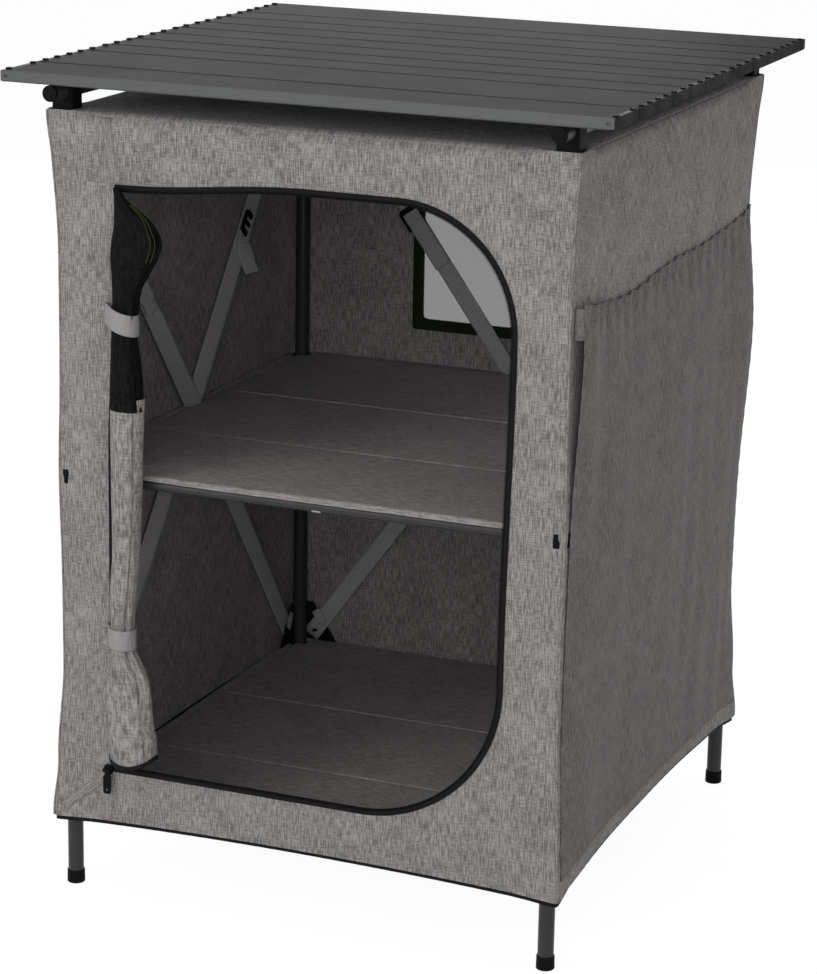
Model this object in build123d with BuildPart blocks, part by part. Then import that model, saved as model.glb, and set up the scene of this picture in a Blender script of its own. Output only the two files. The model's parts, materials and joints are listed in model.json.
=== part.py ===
from build123d import *
import math
import os

# Camping cupboard: a plug-together tube frame, a fabric cover with a rolled-up
# zip door and two side pockets, two folding shelves, and a roll-up slat top.
# Millimetres. X to the right, Y to the back, Z up. Origin: floor, centre.

# Whole object
TOP_WIDTH = 620.0
TOP_DEPTH = 630.0
TOP_HEIGHT = 840.0
LEG_X = 258.0
LEG_Y = 278.0

# Tubes
LEG_DIAMETER = 16.0
RAIL_DIAMETER = 16.0
CROSS_DIAMETER = 11.0
TUBE_WALL = 1.2
SOCKET_CLEARANCE = 0.05
TUBE_END_GAP = 0.2

# Foot caps and rail end caps
FOOT_DIAMETER = 18.4
FOOT_HEIGHT = 14.0
FOOT_BASE = 3.0
FOOT_TAPER = 1.0
FOOT_CHAMFER = 0.8
FOOT_SIDES = 16
RAIL_CAP_DIAMETER = 16.0
RAIL_CAP_LENGTH = 4.0
RAIL_CAP_ROUND = 1.8
CAP_PLUG_LENGTH = 10.0
CAP_PLUG_SIZE = 9.2
RAIL_SETBACK = 1.0

# Roll-up top
SLAT_THICKNESS = 11.0
FRONT_SLAT_DEPTH = 72.0
WIDE_SLAT_DEPTH = 97.0
BACK_SLAT_DEPTH = 91.0
NARROW_SLATS = 7
SLAT_GAP = 1.2
SLAT_WALL = 1.3
SLAT_EDGE = 0.6
SLAT_RIB = 1.2
END_CAP_WIDTH = 5.0
END_CAP_TONGUE = 8.0
TONGUE_CLEARANCE = 0.15
KNUCKLE_RADIUS = 2.6
KNUCKLE_SIDES = 8
PIN_SIDES = 8
KNUCKLE_CLEARANCE = 0.4
KNUCKLE_SIDE_GAP = 0.2
PIVOT_DEPTH = 2.2
HINGE_PIN_RADIUS = 1.5
HINGE_PIN_CLEARANCE = 0.08
HINGE_PIN_LENGTH = 2.0
TAB_FROM_JOINT = 12.5
TAB_LENGTH = 5.0
TAB_HEIGHT = 1.5
WIDE_FROM = 80.0
BAR_THICKNESS = 2.5
BAR_HEIGHT = 10.2
BAR_EDGE = 0.5
SCREW_INSET = 5.5
SCREW_RADIUS = 1.6
TOP_REST_GAP = 0.3

# Corner blocks and leg clips
BLOCK_SIZE = 22.0
BLOCK_HEIGHT = 51.0
RAIL_STANDS_PROUD = 1.7
BLOCK_CHAMFER = 1.5
SOCKET_SIDES = 12
CLIP_RADIUS = 11.0
CLIP_HEIGHT = 14.0
SPIGOT_LENGTH = 18.0
TOP_TUBE_UP = 14.0
PLUG_SIZE = 5.8
FERRULE_X = 11.0
FERRULE_LENGTH = 9.0
FERRULE_THICKNESS = 0.7
FERRULE_OPEN_BELOW = 3.0

# Shelves
UPPER_SHELF_TOP = 446.0
LOWER_SHELF_TOP = 95.5
BOARD_THICKNESS = 4.0
BOARD_HALF_WIDTH = 258.0
BOARD_FRONT = -283.0
BOARD_BACK = 282.5
CREASE_BACK = 75.0
CREASE_FRONT = -110.0
CREASE_GAP = 0.6
BOARD_EDGE = 1.2
REST_GAP = 0.3
CORNER_CLEARANCE = 1.0
FABRIC_FLOOR = 1.2

# Cover
COVER_THICKNESS = 1.5
COVER_CLEARANCE = 0.5
HEM_Z = 76.0
ROOF_BELOW_RAIL = 9.7
FRONT_HEM_ARCH = 3.0
SIDE_HEM_ARCH = 8.0
PANEL_GAP = 0.2

# Door opening in the front panel
DOOR_LEFT = -205.0
DOOR_RIGHT = 212.0
DOOR_SILL = 61.0
DOOR_HEAD = 60.0
DOOR_RADIUS = 118.0
DOOR_CORNER = 3.0
TAPE_OUTSIDE = 5.0
TAPE_INSIDE = 2.0
TAPE_THICKNESS = 0.8

# Zip slider and puller
SLIDER_X = -211.0
SLIDER_WIDTH = 9.0
SLIDER_HEIGHT = 10.0
SLIDER_THICKNESS = 2.6
SLIDER_CORNER = 2.4
LUG_THICKNESS = 1.4
LUG_REACH = 4.6
PULLER_EYE = 4.4
PULLER_LENGTH = 25.0
PULLER_WIDTH = 8.0
PULLER_THICKNESS = 1.8
PULLER_CORNER = 2.5
PULLER_HOLE = 1.5
PULLER_PIN = 0.9
PULLER_PIN_CLEARANCE = 0.1

# Rolled door, each ring: share of the door's height, centre, half width, half depth
ROLL_Y = -300.5
GREY_ROLL = [
    (0.012, -177.5, 15.0, 9.5),
    (0.041, -177.5, 20.5, 12.5),
    (0.104, -177.5, 21.0, 13.0),
    (0.170, -183.0, 16.0, 12.0),
    (0.215, -186.5, 12.5, 10.5),
    (0.260, -186.5, 12.5, 10.5),
    (0.400, -185.5, 14.5, 11.5),
    (0.550, -184.0, 16.0, 12.0),
    (0.6335, -183.0, 17.5, 12.6),
]
MESH_ROLL = [
    (0.6345, -183.0, 18.0, 13.0),
    (0.698, -184.5, 15.5, 12.6),
    (0.742, -187.0, 12.0, 11.0),
    (0.786, -187.0, 12.0, 11.0),
    (0.830, -181.0, 18.0, 13.0),
    (0.890, -173.0, 25.5, 13.9),
    (0.949, -183.0, 15.5, 10.5),
    (0.985, -191.5, 6.0, 5.5),
]
ROLL_STEP = 40.0
ROLL_SIDES = 15
ROLL_FOLDS = 5
FOLD_DEPTH = 0.5
FOLD_TWIST = 0.02
UPPER_TIE_SHARE = 0.764
LOWER_TIE_SHARE = 0.2375
TIE_HEIGHT = 20.0
TIE_THICKNESS = 1.4
TIE_CLEARANCE = 0.9
TIE_TAB_LEFT = -211.0

# Side pockets
POCKET_HALF_WIDTH = 284.0
POCKET_BOTTOM = 96.0
POCKET_MIDDLE_UP = 284.0
POCKET_BELOW_ROOF = 153.0
POCKET_BULGE_BOTTOM = 1.6
POCKET_BULGE_MIDDLE = 10.0
POCKET_BULGE_TOP = 14.0
POCKET_THICKNESS = 1.3
POCKET_GAP = 0.3
GATHERS = 12
GATHER_POINTS = 3
GATHER_TOP = 2.6
GATHER_MIDDLE = 1.2
GATHER_BOTTOM = 0.3

# Back window
WINDOW_HALF_WIDTH = 114.0
WINDOW_HEIGHT = 194.0
WINDOW_BELOW_ROOF = 113.0
WINDOW_CORNER = 6.0
WINDOW_BINDING = 17.0
WINDOW_LAP = 3.0
BINDING_THICKNESS = 1.0
MESH_THICKNESS = 0.8

# Crossed straps and buckles
STRAP_WIDTH = 18.0
STRAP_THICKNESS = 1.2
STRAP_WALL_GAP = 2.5
STRAP_LAYER_GAP = 0.4
STRAP_OVER_BLOCK = 2.0
STRAP_OVER_SHELF = 10.5
BUCKLE_WIDTH = 24.0
BUCKLE_LENGTH = 28.0
BUCKLE_THICKNESS = 3.0
BUCKLE_SLOT = 5.0
BUCKLE_CHAMFER = 2.5
BUCKLE_DISTANCE = 205.0
BUCKLE_GAP = 0.3

# Places that follow from the sizes above
SLAT_BOTTOM = TOP_HEIGHT - SLAT_THICKNESS
RAIL_Z = SLAT_BOTTOM - TOP_REST_GAP - RAIL_DIAMETER / 2
RAIL_HALF = TOP_DEPTH / 2 - RAIL_SETBACK - RAIL_CAP_LENGTH
BLOCK_TOP = RAIL_Z + RAIL_DIAMETER / 2 - RAIL_STANDS_PROUD
BLOCK_BOTTOM = BLOCK_TOP - BLOCK_HEIGHT
TOP_TUBE_Z = BLOCK_BOTTOM + TOP_TUBE_UP
ROOF_Z = RAIL_Z - RAIL_DIAMETER / 2 - ROOF_BELOW_RAIL
DOOR_BOTTOM = HEM_Z + DOOR_SILL
DOOR_TOP = ROOF_Z - DOOR_HEAD
WINDOW_TOP = ROOF_Z - WINDOW_BELOW_ROOF
WINDOW_BOTTOM = WINDOW_TOP - WINDOW_HEIGHT
POCKET_TOP = ROOF_Z - POCKET_BELOW_ROOF
POCKET_MIDDLE = POCKET_BOTTOM + POCKET_MIDDLE_UP
STRAP_TOP_Z = BLOCK_BOTTOM + STRAP_OVER_BLOCK
STRAP_BOTTOM_Z = LOWER_SHELF_TOP + STRAP_OVER_SHELF
LEG_TOP = RAIL_Z - RAIL_DIAMETER / 2 - TUBE_WALL
PIVOT_Z = TOP_HEIGHT - PIVOT_DEPTH
TUBE_BORE = CROSS_DIAMETER / 2 - TUBE_WALL
CROSS_HALF = LEG_X - BLOCK_SIZE / 2 - TUBE_END_GAP
SIDE_HALF = LEG_Y - CLIP_RADIUS - TUBE_END_GAP
UPPER_TUBE_Z = UPPER_SHELF_TOP - BOARD_THICKNESS - REST_GAP - CROSS_DIAMETER / 2
LOWER_TUBE_Z = (
    LOWER_SHELF_TOP - BOARD_THICKNESS - 2 * REST_GAP - FABRIC_FLOOR - CROSS_DIAMETER / 2
)
INNER_X = LEG_X + CLIP_RADIUS + COVER_CLEARANCE
INNER_Y = LEG_Y + CLIP_RADIUS + COVER_CLEARANCE
OUTER_X = INNER_X + COVER_THICKNESS
OUTER_Y = INNER_Y + COVER_THICKNESS
NARROW_SLAT_DEPTH = (
    TOP_DEPTH - FRONT_SLAT_DEPTH - WIDE_SLAT_DEPTH - BACK_SLAT_DEPTH
) / NARROW_SLATS
PLANK_HALF = TOP_WIDTH / 2 - END_CAP_WIDTH
TAB_SPAN = END_CAP_WIDTH - SLAT_EDGE
TAB_X = TOP_WIDTH / 2 - END_CAP_WIDTH / 2
STRAP_REACH_X = LEG_X - BLOCK_SIZE / 2 - REST_GAP
STRAP_REACH_Y = LEG_Y - BLOCK_SIZE / 2 - REST_GAP
SLIDER_FACE = OUTER_Y + PANEL_GAP + TAPE_THICKNESS + REST_GAP
SLIDER_Z = DOOR_BOTTOM - (TAPE_OUTSIDE - TAPE_INSIDE) / 2
PIVOT_Y = -(SLIDER_FACE + SLIDER_THICKNESS + LUG_REACH / 2)

os.makedirs("parts", exist_ok=True)


def save(builder, name):
    """Labels a finished sub-part and writes its STEP file."""
    builder.part.label = name
    export_step(builder.part, f"parts/{name}.step")
    print(name, round(builder.part.volume))


# Frame


def socket(mode=Mode.ADD):
    """The many-sided hole that grips a leg tube by its flats."""
    grip = LEG_DIAMETER / 2 + SOCKET_CLEARANCE
    RegularPolygon(grip, SOCKET_SIDES, major_radius=False, mode=mode)


def make_leg(x, y, name):
    """An upright tube from the inside of its foot cap up into its corner block."""
    with BuildPart() as leg:
        with BuildSketch(Plane.XY.offset(FOOT_BASE)):
            with Locations((x, y)):
                Circle(LEG_DIAMETER / 2)
                Circle(LEG_DIAMETER / 2 - TUBE_WALL, mode=Mode.SUBTRACT)
        extrude(amount=LEG_TOP - FOOT_BASE)
    save(leg, name)


def make_foot_caps():
    """Four tapered caps, each a cup that the leg stands in."""
    with BuildPart() as foot_caps:
        with BuildSketch():
            with GridLocations(2 * LEG_X, 2 * LEG_Y, 2, 2):
                RegularPolygon(FOOT_DIAMETER / 2 - FOOT_CHAMFER, FOOT_SIDES)
        extrude(amount=FOOT_CHAMFER, taper=-45)
        with BuildSketch(Plane.XY.offset(FOOT_CHAMFER)):
            with GridLocations(2 * LEG_X, 2 * LEG_Y, 2, 2):
                RegularPolygon(FOOT_DIAMETER / 2, FOOT_SIDES)
        extrude(amount=FOOT_HEIGHT - FOOT_CHAMFER, taper=FOOT_TAPER)
        with BuildSketch(Plane.XY.offset(FOOT_BASE)):
            with GridLocations(2 * LEG_X, 2 * LEG_Y, 2, 2):
                socket()
        extrude(amount=FOOT_HEIGHT, mode=Mode.SUBTRACT)
    save(foot_caps, "foot_caps")


def add_cross_spigots(levels, reach):
    """Square plugs that point inwards along X into the ends of the cross tubes."""
    for side in (-1, 1):
        with BuildSketch(Plane.YZ.offset(side * reach)) as stubs:
            for z in levels:
                with Locations((-LEG_Y, z), (LEG_Y, z)):
                    Rectangle(PLUG_SIZE, PLUG_SIZE)
        extrude(stubs.sketch, amount=-side * SPIGOT_LENGTH)


def make_corner_blocks():
    """Four blocks: the leg's socket below, the rail's saddle through the top."""
    with BuildPart() as blocks:
        with BuildSketch(Plane.XY.offset(BLOCK_BOTTOM)):
            with GridLocations(2 * LEG_X, 2 * LEG_Y, 2, 2):
                Rectangle(BLOCK_SIZE, BLOCK_SIZE)
        extrude(amount=BLOCK_HEIGHT)
        chamfer(blocks.edges().filter_by(Axis.Z), length=BLOCK_CHAMFER)
        with BuildSketch(Plane.XY.offset(BLOCK_BOTTOM)):
            with GridLocations(2 * LEG_X, 2 * LEG_Y, 2, 2):
                socket()
        extrude(amount=LEG_TOP - BLOCK_BOTTOM + TUBE_END_GAP, mode=Mode.SUBTRACT)
        with BuildSketch(Plane.XZ):
            with Locations((-LEG_X, RAIL_Z), (LEG_X, RAIL_Z)):
                Circle(RAIL_DIAMETER / 2 + SOCKET_CLEARANCE)
        extrude(amount=LEG_Y + BLOCK_SIZE, both=True, mode=Mode.SUBTRACT)
        add_cross_spigots([TOP_TUBE_Z], LEG_X - BLOCK_SIZE / 2)
    save(blocks, "corner_blocks")


def make_leg_clips():
    """Collars on the legs: one row under each shelf, with stubs for the tubes."""
    with BuildPart() as clips:
        for level in (UPPER_TUBE_Z, LOWER_TUBE_Z):
            with BuildSketch(Plane.XY.offset(level - CLIP_HEIGHT / 2)):
                with GridLocations(2 * LEG_X, 2 * LEG_Y, 2, 2):
                    RegularPolygon(CLIP_RADIUS, SOCKET_SIDES)
                    socket(mode=Mode.SUBTRACT)
            extrude(amount=CLIP_HEIGHT)
        inset = (CLIP_RADIUS + LEG_DIAMETER / 2) / 2
        add_cross_spigots([UPPER_TUBE_Z, LOWER_TUBE_Z], LEG_X - inset)
        for side in (-1, 1):
            with BuildSketch(Plane.XZ.offset(-side * (LEG_Y - inset))):
                with Locations((-LEG_X, LOWER_TUBE_Z), (LEG_X, LOWER_TUBE_Z)):
                    Rectangle(PLUG_SIZE, PLUG_SIZE)
            extrude(amount=side * SPIGOT_LENGTH)
    save(clips, "leg_clips")


def make_rail(x, name):
    """A front-to-back tube that lies in two corner blocks and carries the top."""
    with BuildPart() as rail:
        with BuildSketch(Plane.XZ.offset(RAIL_HALF)):
            with Locations((x, RAIL_Z)):
                Circle(RAIL_DIAMETER / 2)
                Circle(RAIL_DIAMETER / 2 - TUBE_WALL, mode=Mode.SUBTRACT)
        extrude(amount=-2 * RAIL_HALF)
    save(rail, name)


def make_rail_end_caps():
    """Four chamfered plugs that close the rails' ends."""
    with BuildPart() as caps:
        for side in (-1, 1):
            with BuildSketch(Plane.XZ.offset(-side * RAIL_HALF)):
                with Locations((-LEG_X, RAIL_Z), (LEG_X, RAIL_Z)):
                    RegularPolygon(RAIL_CAP_DIAMETER / 2, FOOT_SIDES)
            extrude(amount=-side * RAIL_CAP_LENGTH)
            ends = caps.faces().sort_by(Axis.Y)
            end = ends[:2] if side < 0 else ends[-2:]
            chamfer(end.edges(), length=RAIL_CAP_ROUND)
            with BuildSketch(Plane.XZ.offset(-side * RAIL_HALF)):
                with Locations((-LEG_X, RAIL_Z), (LEG_X, RAIL_Z)):
                    Rectangle(CAP_PLUG_SIZE, CAP_PLUG_SIZE)
            extrude(amount=side * CAP_PLUG_LENGTH)
    save(caps, "rail_end_caps")


def make_cross_tubes():
    """Six tubes along X: under the roof, under each shelf, at front and back."""
    with BuildPart() as tubes:
        with BuildSketch(Plane.YZ.offset(-CROSS_HALF)):
            for z in (TOP_TUBE_Z, UPPER_TUBE_Z, LOWER_TUBE_Z):
                with Locations((-LEG_Y, z), (LEG_Y, z)):
                    Circle(CROSS_DIAMETER / 2)
                    Circle(TUBE_BORE, mode=Mode.SUBTRACT)
        extrude(amount=2 * CROSS_HALF)
    save(tubes, "cross_tubes")


def make_side_tubes():
    """Two tubes along Y that join the lower leg clips."""
    with BuildPart() as tubes:
        with BuildSketch(Plane.XZ.offset(SIDE_HALF)):
            with Locations((-LEG_X, LOWER_TUBE_Z), (LEG_X, LOWER_TUBE_Z)):
                Circle(CROSS_DIAMETER / 2)
                Circle(TUBE_BORE, mode=Mode.SUBTRACT)
        extrude(amount=-2 * SIDE_HALF)
    save(tubes, "side_tubes")


def make_ferrule():
    """The bright half sleeve under the joint of the front shelf tube."""
    with BuildPart() as ferrule:
        with BuildSketch(Plane.YZ.offset(FERRULE_X - FERRULE_LENGTH / 2)):
            with Locations((-LEG_Y, UPPER_TUBE_Z)):
                Circle(CROSS_DIAMETER / 2 + FERRULE_THICKNESS)
                Circle(CROSS_DIAMETER / 2 + SOCKET_CLEARANCE, mode=Mode.SUBTRACT)
                with Locations((0, CROSS_DIAMETER - FERRULE_OPEN_BELOW)):
                    Rectangle(
                        2 * CROSS_DIAMETER,
                        2 * CROSS_DIAMETER,
                        mode=Mode.SUBTRACT,
                    )
        extrude(amount=FERRULE_LENGTH)
    save(ferrule, "shelf_tube_ferrule")


# Fabric cover


def side_profile(half_width, arch):
    """A wall panel's outline: straight sides, flat top and an arched hem."""
    with BuildLine() as outline:
        Polyline(
            (-half_width, HEM_Z),
            (-half_width, ROOF_Z),
            (half_width, ROOF_Z),
            (half_width, HEM_Z),
        )
        ThreePointArc((half_width, HEM_Z), (0, HEM_Z + arch), (-half_width, HEM_Z))
    make_face(outline.edges())


def door_profile(margin, mode=Mode.ADD):
    """The door's outline, grown by a margin: square left, round right corners."""
    left, right = DOOR_LEFT - margin, DOOR_RIGHT + margin
    bottom, top = DOOR_BOTTOM - margin, DOOR_TOP + margin
    radius = DOOR_RADIUS + margin
    turn = radius * math.sqrt(0.5)
    with BuildLine() as outline:
        Line((left, bottom), (left, top))
        Line((left, top), (right - radius, top))
        ThreePointArc(
            (right - radius, top),
            (right - radius + turn, top - radius + turn),
            (right, top - radius),
        )
        Line((right, top - radius), (right, bottom + radius))
        ThreePointArc(
            (right, bottom + radius),
            (right - radius + turn, bottom + radius - turn),
            (right - radius, bottom),
        )
        Line((right - radius, bottom), (left, bottom))
    make_face(outline.edges(), mode=mode)


def make_cover_front():
    """The front panel with its door opening."""
    with BuildPart() as front:
        with BuildSketch(Plane.XZ.offset(INNER_Y)):
            side_profile(OUTER_X, FRONT_HEM_ARCH)
            door_profile(0.0, mode=Mode.SUBTRACT)
        extrude(amount=COVER_THICKNESS)
        corners = front.edges().filter_by(Axis.Y).group_by(Axis.X)[1]
        fillet(corners, radius=DOOR_CORNER)
    save(front, "cover_front")


def make_cover_side(side, name):
    """A side panel, between the front and the back panel."""
    with BuildPart() as panel:
        with BuildSketch(Plane.YZ.offset(side * INNER_X)):
            side_profile(INNER_Y - PANEL_GAP, SIDE_HEM_ARCH)
        extrude(amount=side * COVER_THICKNESS)
    save(panel, name)


def window_centre():
    """The window's centre in the back panel's own plane."""
    return (0, (WINDOW_TOP + WINDOW_BOTTOM) / 2)


def make_cover_back():
    """The back panel with the hole of its window."""
    with BuildPart() as back:
        with BuildSketch(Plane.XZ.offset(-INNER_Y)):
            side_profile(OUTER_X, FRONT_HEM_ARCH)
            with Locations(window_centre()):
                RectangleRounded(
                    2 * WINDOW_HALF_WIDTH,
                    WINDOW_TOP - WINDOW_BOTTOM,
                    WINDOW_CORNER,
                    mode=Mode.SUBTRACT,
                )
        extrude(amount=-COVER_THICKNESS)
    save(back, "cover_back")


def make_window():
    """The clear mesh pane, and the binding round it on the inside."""
    height = WINDOW_TOP - WINDOW_BOTTOM
    with BuildPart() as pane:
        with BuildSketch(Plane.XZ.offset(-INNER_Y - PANEL_GAP)):
            with Locations(window_centre()):
                RectangleRounded(
                    2 * (WINDOW_HALF_WIDTH - PANEL_GAP),
                    height - 2 * PANEL_GAP,
                    WINDOW_CORNER,
                )
        extrude(amount=-MESH_THICKNESS)
    save(pane, "window_mesh")
    with BuildPart() as binding:
        with BuildSketch(Plane.XZ.offset(-INNER_Y + PANEL_GAP)):
            with Locations(window_centre()):
                RectangleRounded(
                    2 * (WINDOW_HALF_WIDTH + WINDOW_BINDING - WINDOW_LAP),
                    height + 2 * (WINDOW_BINDING - WINDOW_LAP),
                    WINDOW_CORNER,
                )
                RectangleRounded(
                    2 * (WINDOW_HALF_WIDTH - WINDOW_LAP),
                    height - 2 * WINDOW_LAP,
                    WINDOW_CORNER,
                    mode=Mode.SUBTRACT,
                )
        extrude(amount=BINDING_THICKNESS)
    save(binding, "window_binding")


def notched_sheet(half_x, half_y, notch_x, notch_y):
    """A rectangle whose corners are cut away round the legs."""
    Rectangle(2 * half_x, 2 * half_y)
    with GridLocations(2 * half_x, 2 * half_y, 2, 2):
        Rectangle(2 * notch_x, 2 * notch_y, mode=Mode.SUBTRACT)


def make_cover_roof():
    """The roof panel, cut away round the four corner blocks."""
    half_x, half_y = INNER_X - PANEL_GAP, INNER_Y - PANEL_GAP
    reach = BLOCK_SIZE / 2 + CORNER_CLEARANCE
    with BuildPart() as roof:
        with BuildSketch(Plane.XY.offset(ROOF_Z - COVER_THICKNESS)):
            notched_sheet(half_x, half_y, half_x - LEG_X + reach, half_y - LEG_Y + reach)
        extrude(amount=COVER_THICKNESS)
    save(roof, "cover_roof")


def make_cover_floor():
    """The fabric floor that lies on the lower tubes."""
    half_x, half_y = INNER_X - PANEL_GAP, INNER_Y - PANEL_GAP
    reach = CLIP_RADIUS + CORNER_CLEARANCE
    with BuildPart() as floor:
        with BuildSketch(Plane.XY.offset(LOWER_TUBE_Z + CROSS_DIAMETER / 2 + REST_GAP)):
            notched_sheet(half_x, half_y, half_x - LEG_X + reach, half_y - LEG_Y + reach)
        extrude(amount=FABRIC_FLOOR)
    save(floor, "cover_floor")


def pocket_outline(side, bulge, gather):
    """One level of a pocket: a bowed strip that waves with its gathers."""
    points = GATHERS * GATHER_POINTS
    wall = OUTER_X + POCKET_GAP

    def skin(shift, index):
        share = 2 * index / points - 1
        bow = 1 - share**2
        wave = (1 - math.cos(math.tau * index / GATHER_POINTS)) / 2
        return side * (wall + shift + (bulge + gather * wave) * bow), share * POCKET_HALF_WIDTH

    inner = [skin(0.0, index) for index in range(points + 1)]
    outer = [skin(POCKET_THICKNESS, index) for index in range(points, -1, -1)]
    with BuildLine() as outline:
        Polyline(*inner, *outer, close=True)
    make_face(outline.edges())


def make_pocket(side, name):
    """A side pocket that swells from its seams and gathers at its open top."""
    with BuildPart() as pocket:
        with BuildSketch(Plane.XY.offset(POCKET_BOTTOM)):
            pocket_outline(side, POCKET_BULGE_BOTTOM, GATHER_BOTTOM)
        with BuildSketch(Plane.XY.offset(POCKET_MIDDLE)):
            pocket_outline(side, POCKET_BULGE_MIDDLE, GATHER_MIDDLE)
        with BuildSketch(Plane.XY.offset(POCKET_TOP)):
            pocket_outline(side, POCKET_BULGE_TOP, GATHER_TOP)
        loft(ruled=True)
    save(pocket, name)


# Door, ties and zip


def ring_at(rings, share):
    """The roll's centre and half sizes at one share, eased between its two rings."""
    for lower, upper in zip(rings, rings[1:]):
        if share <= upper[0]:
            way = (share - lower[0]) / (upper[0] - lower[0])
            ease = way * way * (3 - 2 * way)
            return [a + (b - a) * ease for a, b in zip(lower[1:], upper[1:])]
    return rings[-1][1:]


def roll_outline(x, wide, deep, z, folds):
    """One level of the roll: an ellipse whose folds wind slowly up it."""
    points = []
    for index in range(ROLL_SIDES):
        turn = math.tau * index / ROLL_SIDES
        fold = folds * math.cos(ROLL_FOLDS * turn + FOLD_TWIST * z)
        points.append((x + (wide + fold) * math.cos(turn), ROLL_Y + (deep + fold) * math.sin(turn)))
    with BuildLine() as outline:
        Polyline(*points, close=True)
    make_face(outline.edges())


def door_height(share):
    """The height at a share of the door opening's own height."""
    return DOOR_BOTTOM + share * (DOOR_TOP - DOOR_BOTTOM)


def make_roll(rings, name):
    """Cloth rolled to the side: a ruled loft through outlines of changing girth."""
    shares = [rings[0][0]]
    for lower, upper in zip(rings, rings[1:]):
        steps = math.ceil((door_height(upper[0]) - door_height(lower[0])) / ROLL_STEP)
        shares += [lower[0] + (upper[0] - lower[0]) * (i + 1) / steps for i in range(steps)]
    with BuildPart() as roll:
        for share in shares:
            z = door_height(share)
            with BuildSketch(Plane.XY.offset(z)):
                roll_outline(*ring_at(rings, share), z, FOLD_DEPTH)
        loft(ruled=True)
    save(roll, name)


def make_door_ties():
    """Two bands round the rolled door's waists, each sewn to the opening's edge."""
    grow = TIE_CLEARANCE + TIE_THICKNESS
    tab_y = -(OUTER_Y + PANEL_GAP + TAPE_THICKNESS + REST_GAP + TIE_THICKNESS / 2)
    with BuildPart() as ties:
        for rings, share in ((MESH_ROLL, UPPER_TIE_SHARE), (GREY_ROLL, LOWER_TIE_SHARE)):
            x, wide, deep = ring_at(rings, share)
            z = door_height(share)
            with BuildSketch(Plane.XY.offset(z - TIE_HEIGHT / 2)) as band:
                roll_outline(x, wide + grow, deep + grow, z, 0.0)
                with Locations(((TIE_TAB_LEFT + x) / 2, tab_y)):
                    Rectangle(x - TIE_TAB_LEFT, TIE_THICKNESS)
            with BuildSketch(Plane.XY.offset(z - TIE_HEIGHT / 2)) as hollow:
                roll_outline(x, wide + TIE_CLEARANCE, deep + TIE_CLEARANCE, z, 0.0)
            extrude(band.sketch - hollow.sketch, amount=TIE_HEIGHT)
    save(ties, "door_ties")


def make_door_zip():
    """The zip's tape round the opening, on the front of the panel."""
    with BuildPart() as tape:
        with BuildSketch(Plane.XZ.offset(OUTER_Y + PANEL_GAP)):
            door_profile(TAPE_OUTSIDE)
            door_profile(-TAPE_INSIDE, mode=Mode.SUBTRACT)
        extrude(amount=TAPE_THICKNESS)
    save(tape, "door_zip")


def make_zip_slider():
    """The slider: a waisted plate with two lugs and the puller's pin."""
    with BuildPart() as slider:
        with BuildSketch(Plane.XZ.offset(SLIDER_FACE)):
            with Locations((SLIDER_X, SLIDER_Z)):
                RectangleRounded(SLIDER_WIDTH, SLIDER_HEIGHT, SLIDER_CORNER)
        extrude(amount=SLIDER_THICKNESS)
        for side in (-1, 1):
            inner = SLIDER_X + side * (PULLER_EYE / 2 + PANEL_GAP)
            with BuildSketch(Plane.YZ.offset(inner)):
                with Locations((PIVOT_Y + LUG_REACH / 4, SLIDER_Z)):
                    Rectangle(LUG_REACH / 2, LUG_REACH)
                with Locations((PIVOT_Y, SLIDER_Z)):
                    Circle(LUG_REACH / 2)
            extrude(amount=side * LUG_THICKNESS)
        with BuildSketch(Plane.YZ.offset(SLIDER_X)):
            with Locations((PIVOT_Y, SLIDER_Z)):
                Circle(PULLER_PIN)
        extrude(amount=PULLER_EYE / 2 + LUG_THICKNESS, both=True)
    save(slider, "zip_slider")


def make_zip_puller():
    """The puller: an eye on the slider's pin, a neck and a rounded tab."""
    eye_radius = LUG_REACH / 2 - REST_GAP
    tab_bottom = SLIDER_Z - PULLER_LENGTH
    tab_top = SLIDER_Z - LUG_REACH
    with BuildPart() as puller:
        with BuildSketch(Plane.YZ.offset(SLIDER_X)):
            with Locations((PIVOT_Y, SLIDER_Z)):
                Circle(eye_radius)
        extrude(amount=PULLER_EYE / 2, both=True)
        with BuildSketch(Plane.XZ.offset(-PIVOT_Y - PULLER_THICKNESS / 2)):
            with Locations((SLIDER_X, (SLIDER_Z + tab_top - PULLER_CORNER) / 2)):
                Rectangle(PULLER_EYE, SLIDER_Z - tab_top + PULLER_CORNER)
            with Locations((SLIDER_X, (tab_top + tab_bottom) / 2)):
                RectangleRounded(PULLER_WIDTH, tab_top - tab_bottom, PULLER_CORNER)
            with Locations((SLIDER_X, tab_bottom + PULLER_WIDTH / 2)):
                Circle(PULLER_HOLE, mode=Mode.SUBTRACT)
        extrude(amount=PULLER_THICKNESS)
        with BuildSketch(Plane.YZ.offset(SLIDER_X)):
            with Locations((PIVOT_Y, SLIDER_Z)):
                Circle(PULLER_PIN + PULLER_PIN_CLEARANCE)
        extrude(amount=PULLER_WIDTH, both=True, mode=Mode.SUBTRACT)
    save(puller, "zip_puller")


# Crossed straps


def strap_band(reach, rising):
    """A band from corner to corner, its ends cut upright beside the blocks."""
    fall = STRAP_TOP_Z - STRAP_BOTTOM_Z
    half = STRAP_WIDTH / 2 * math.hypot(2 * reach, fall) / (2 * reach)
    left = STRAP_BOTTOM_Z if rising > 0 else STRAP_TOP_Z
    right = STRAP_TOP_Z if rising > 0 else STRAP_BOTTOM_Z
    with BuildLine() as outline:
        Polyline(
            (-reach, left - half),
            (reach, right - half),
            (reach, right + half),
            (-reach, left + half),
            close=True,
        )
    make_face(outline.edges())


def strap_layers(wall):
    """Distances from the centre to the near faces of the two strap layers."""
    outer = wall - STRAP_WALL_GAP - STRAP_THICKNESS
    return outer, outer - STRAP_THICKNESS - STRAP_LAYER_GAP


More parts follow.
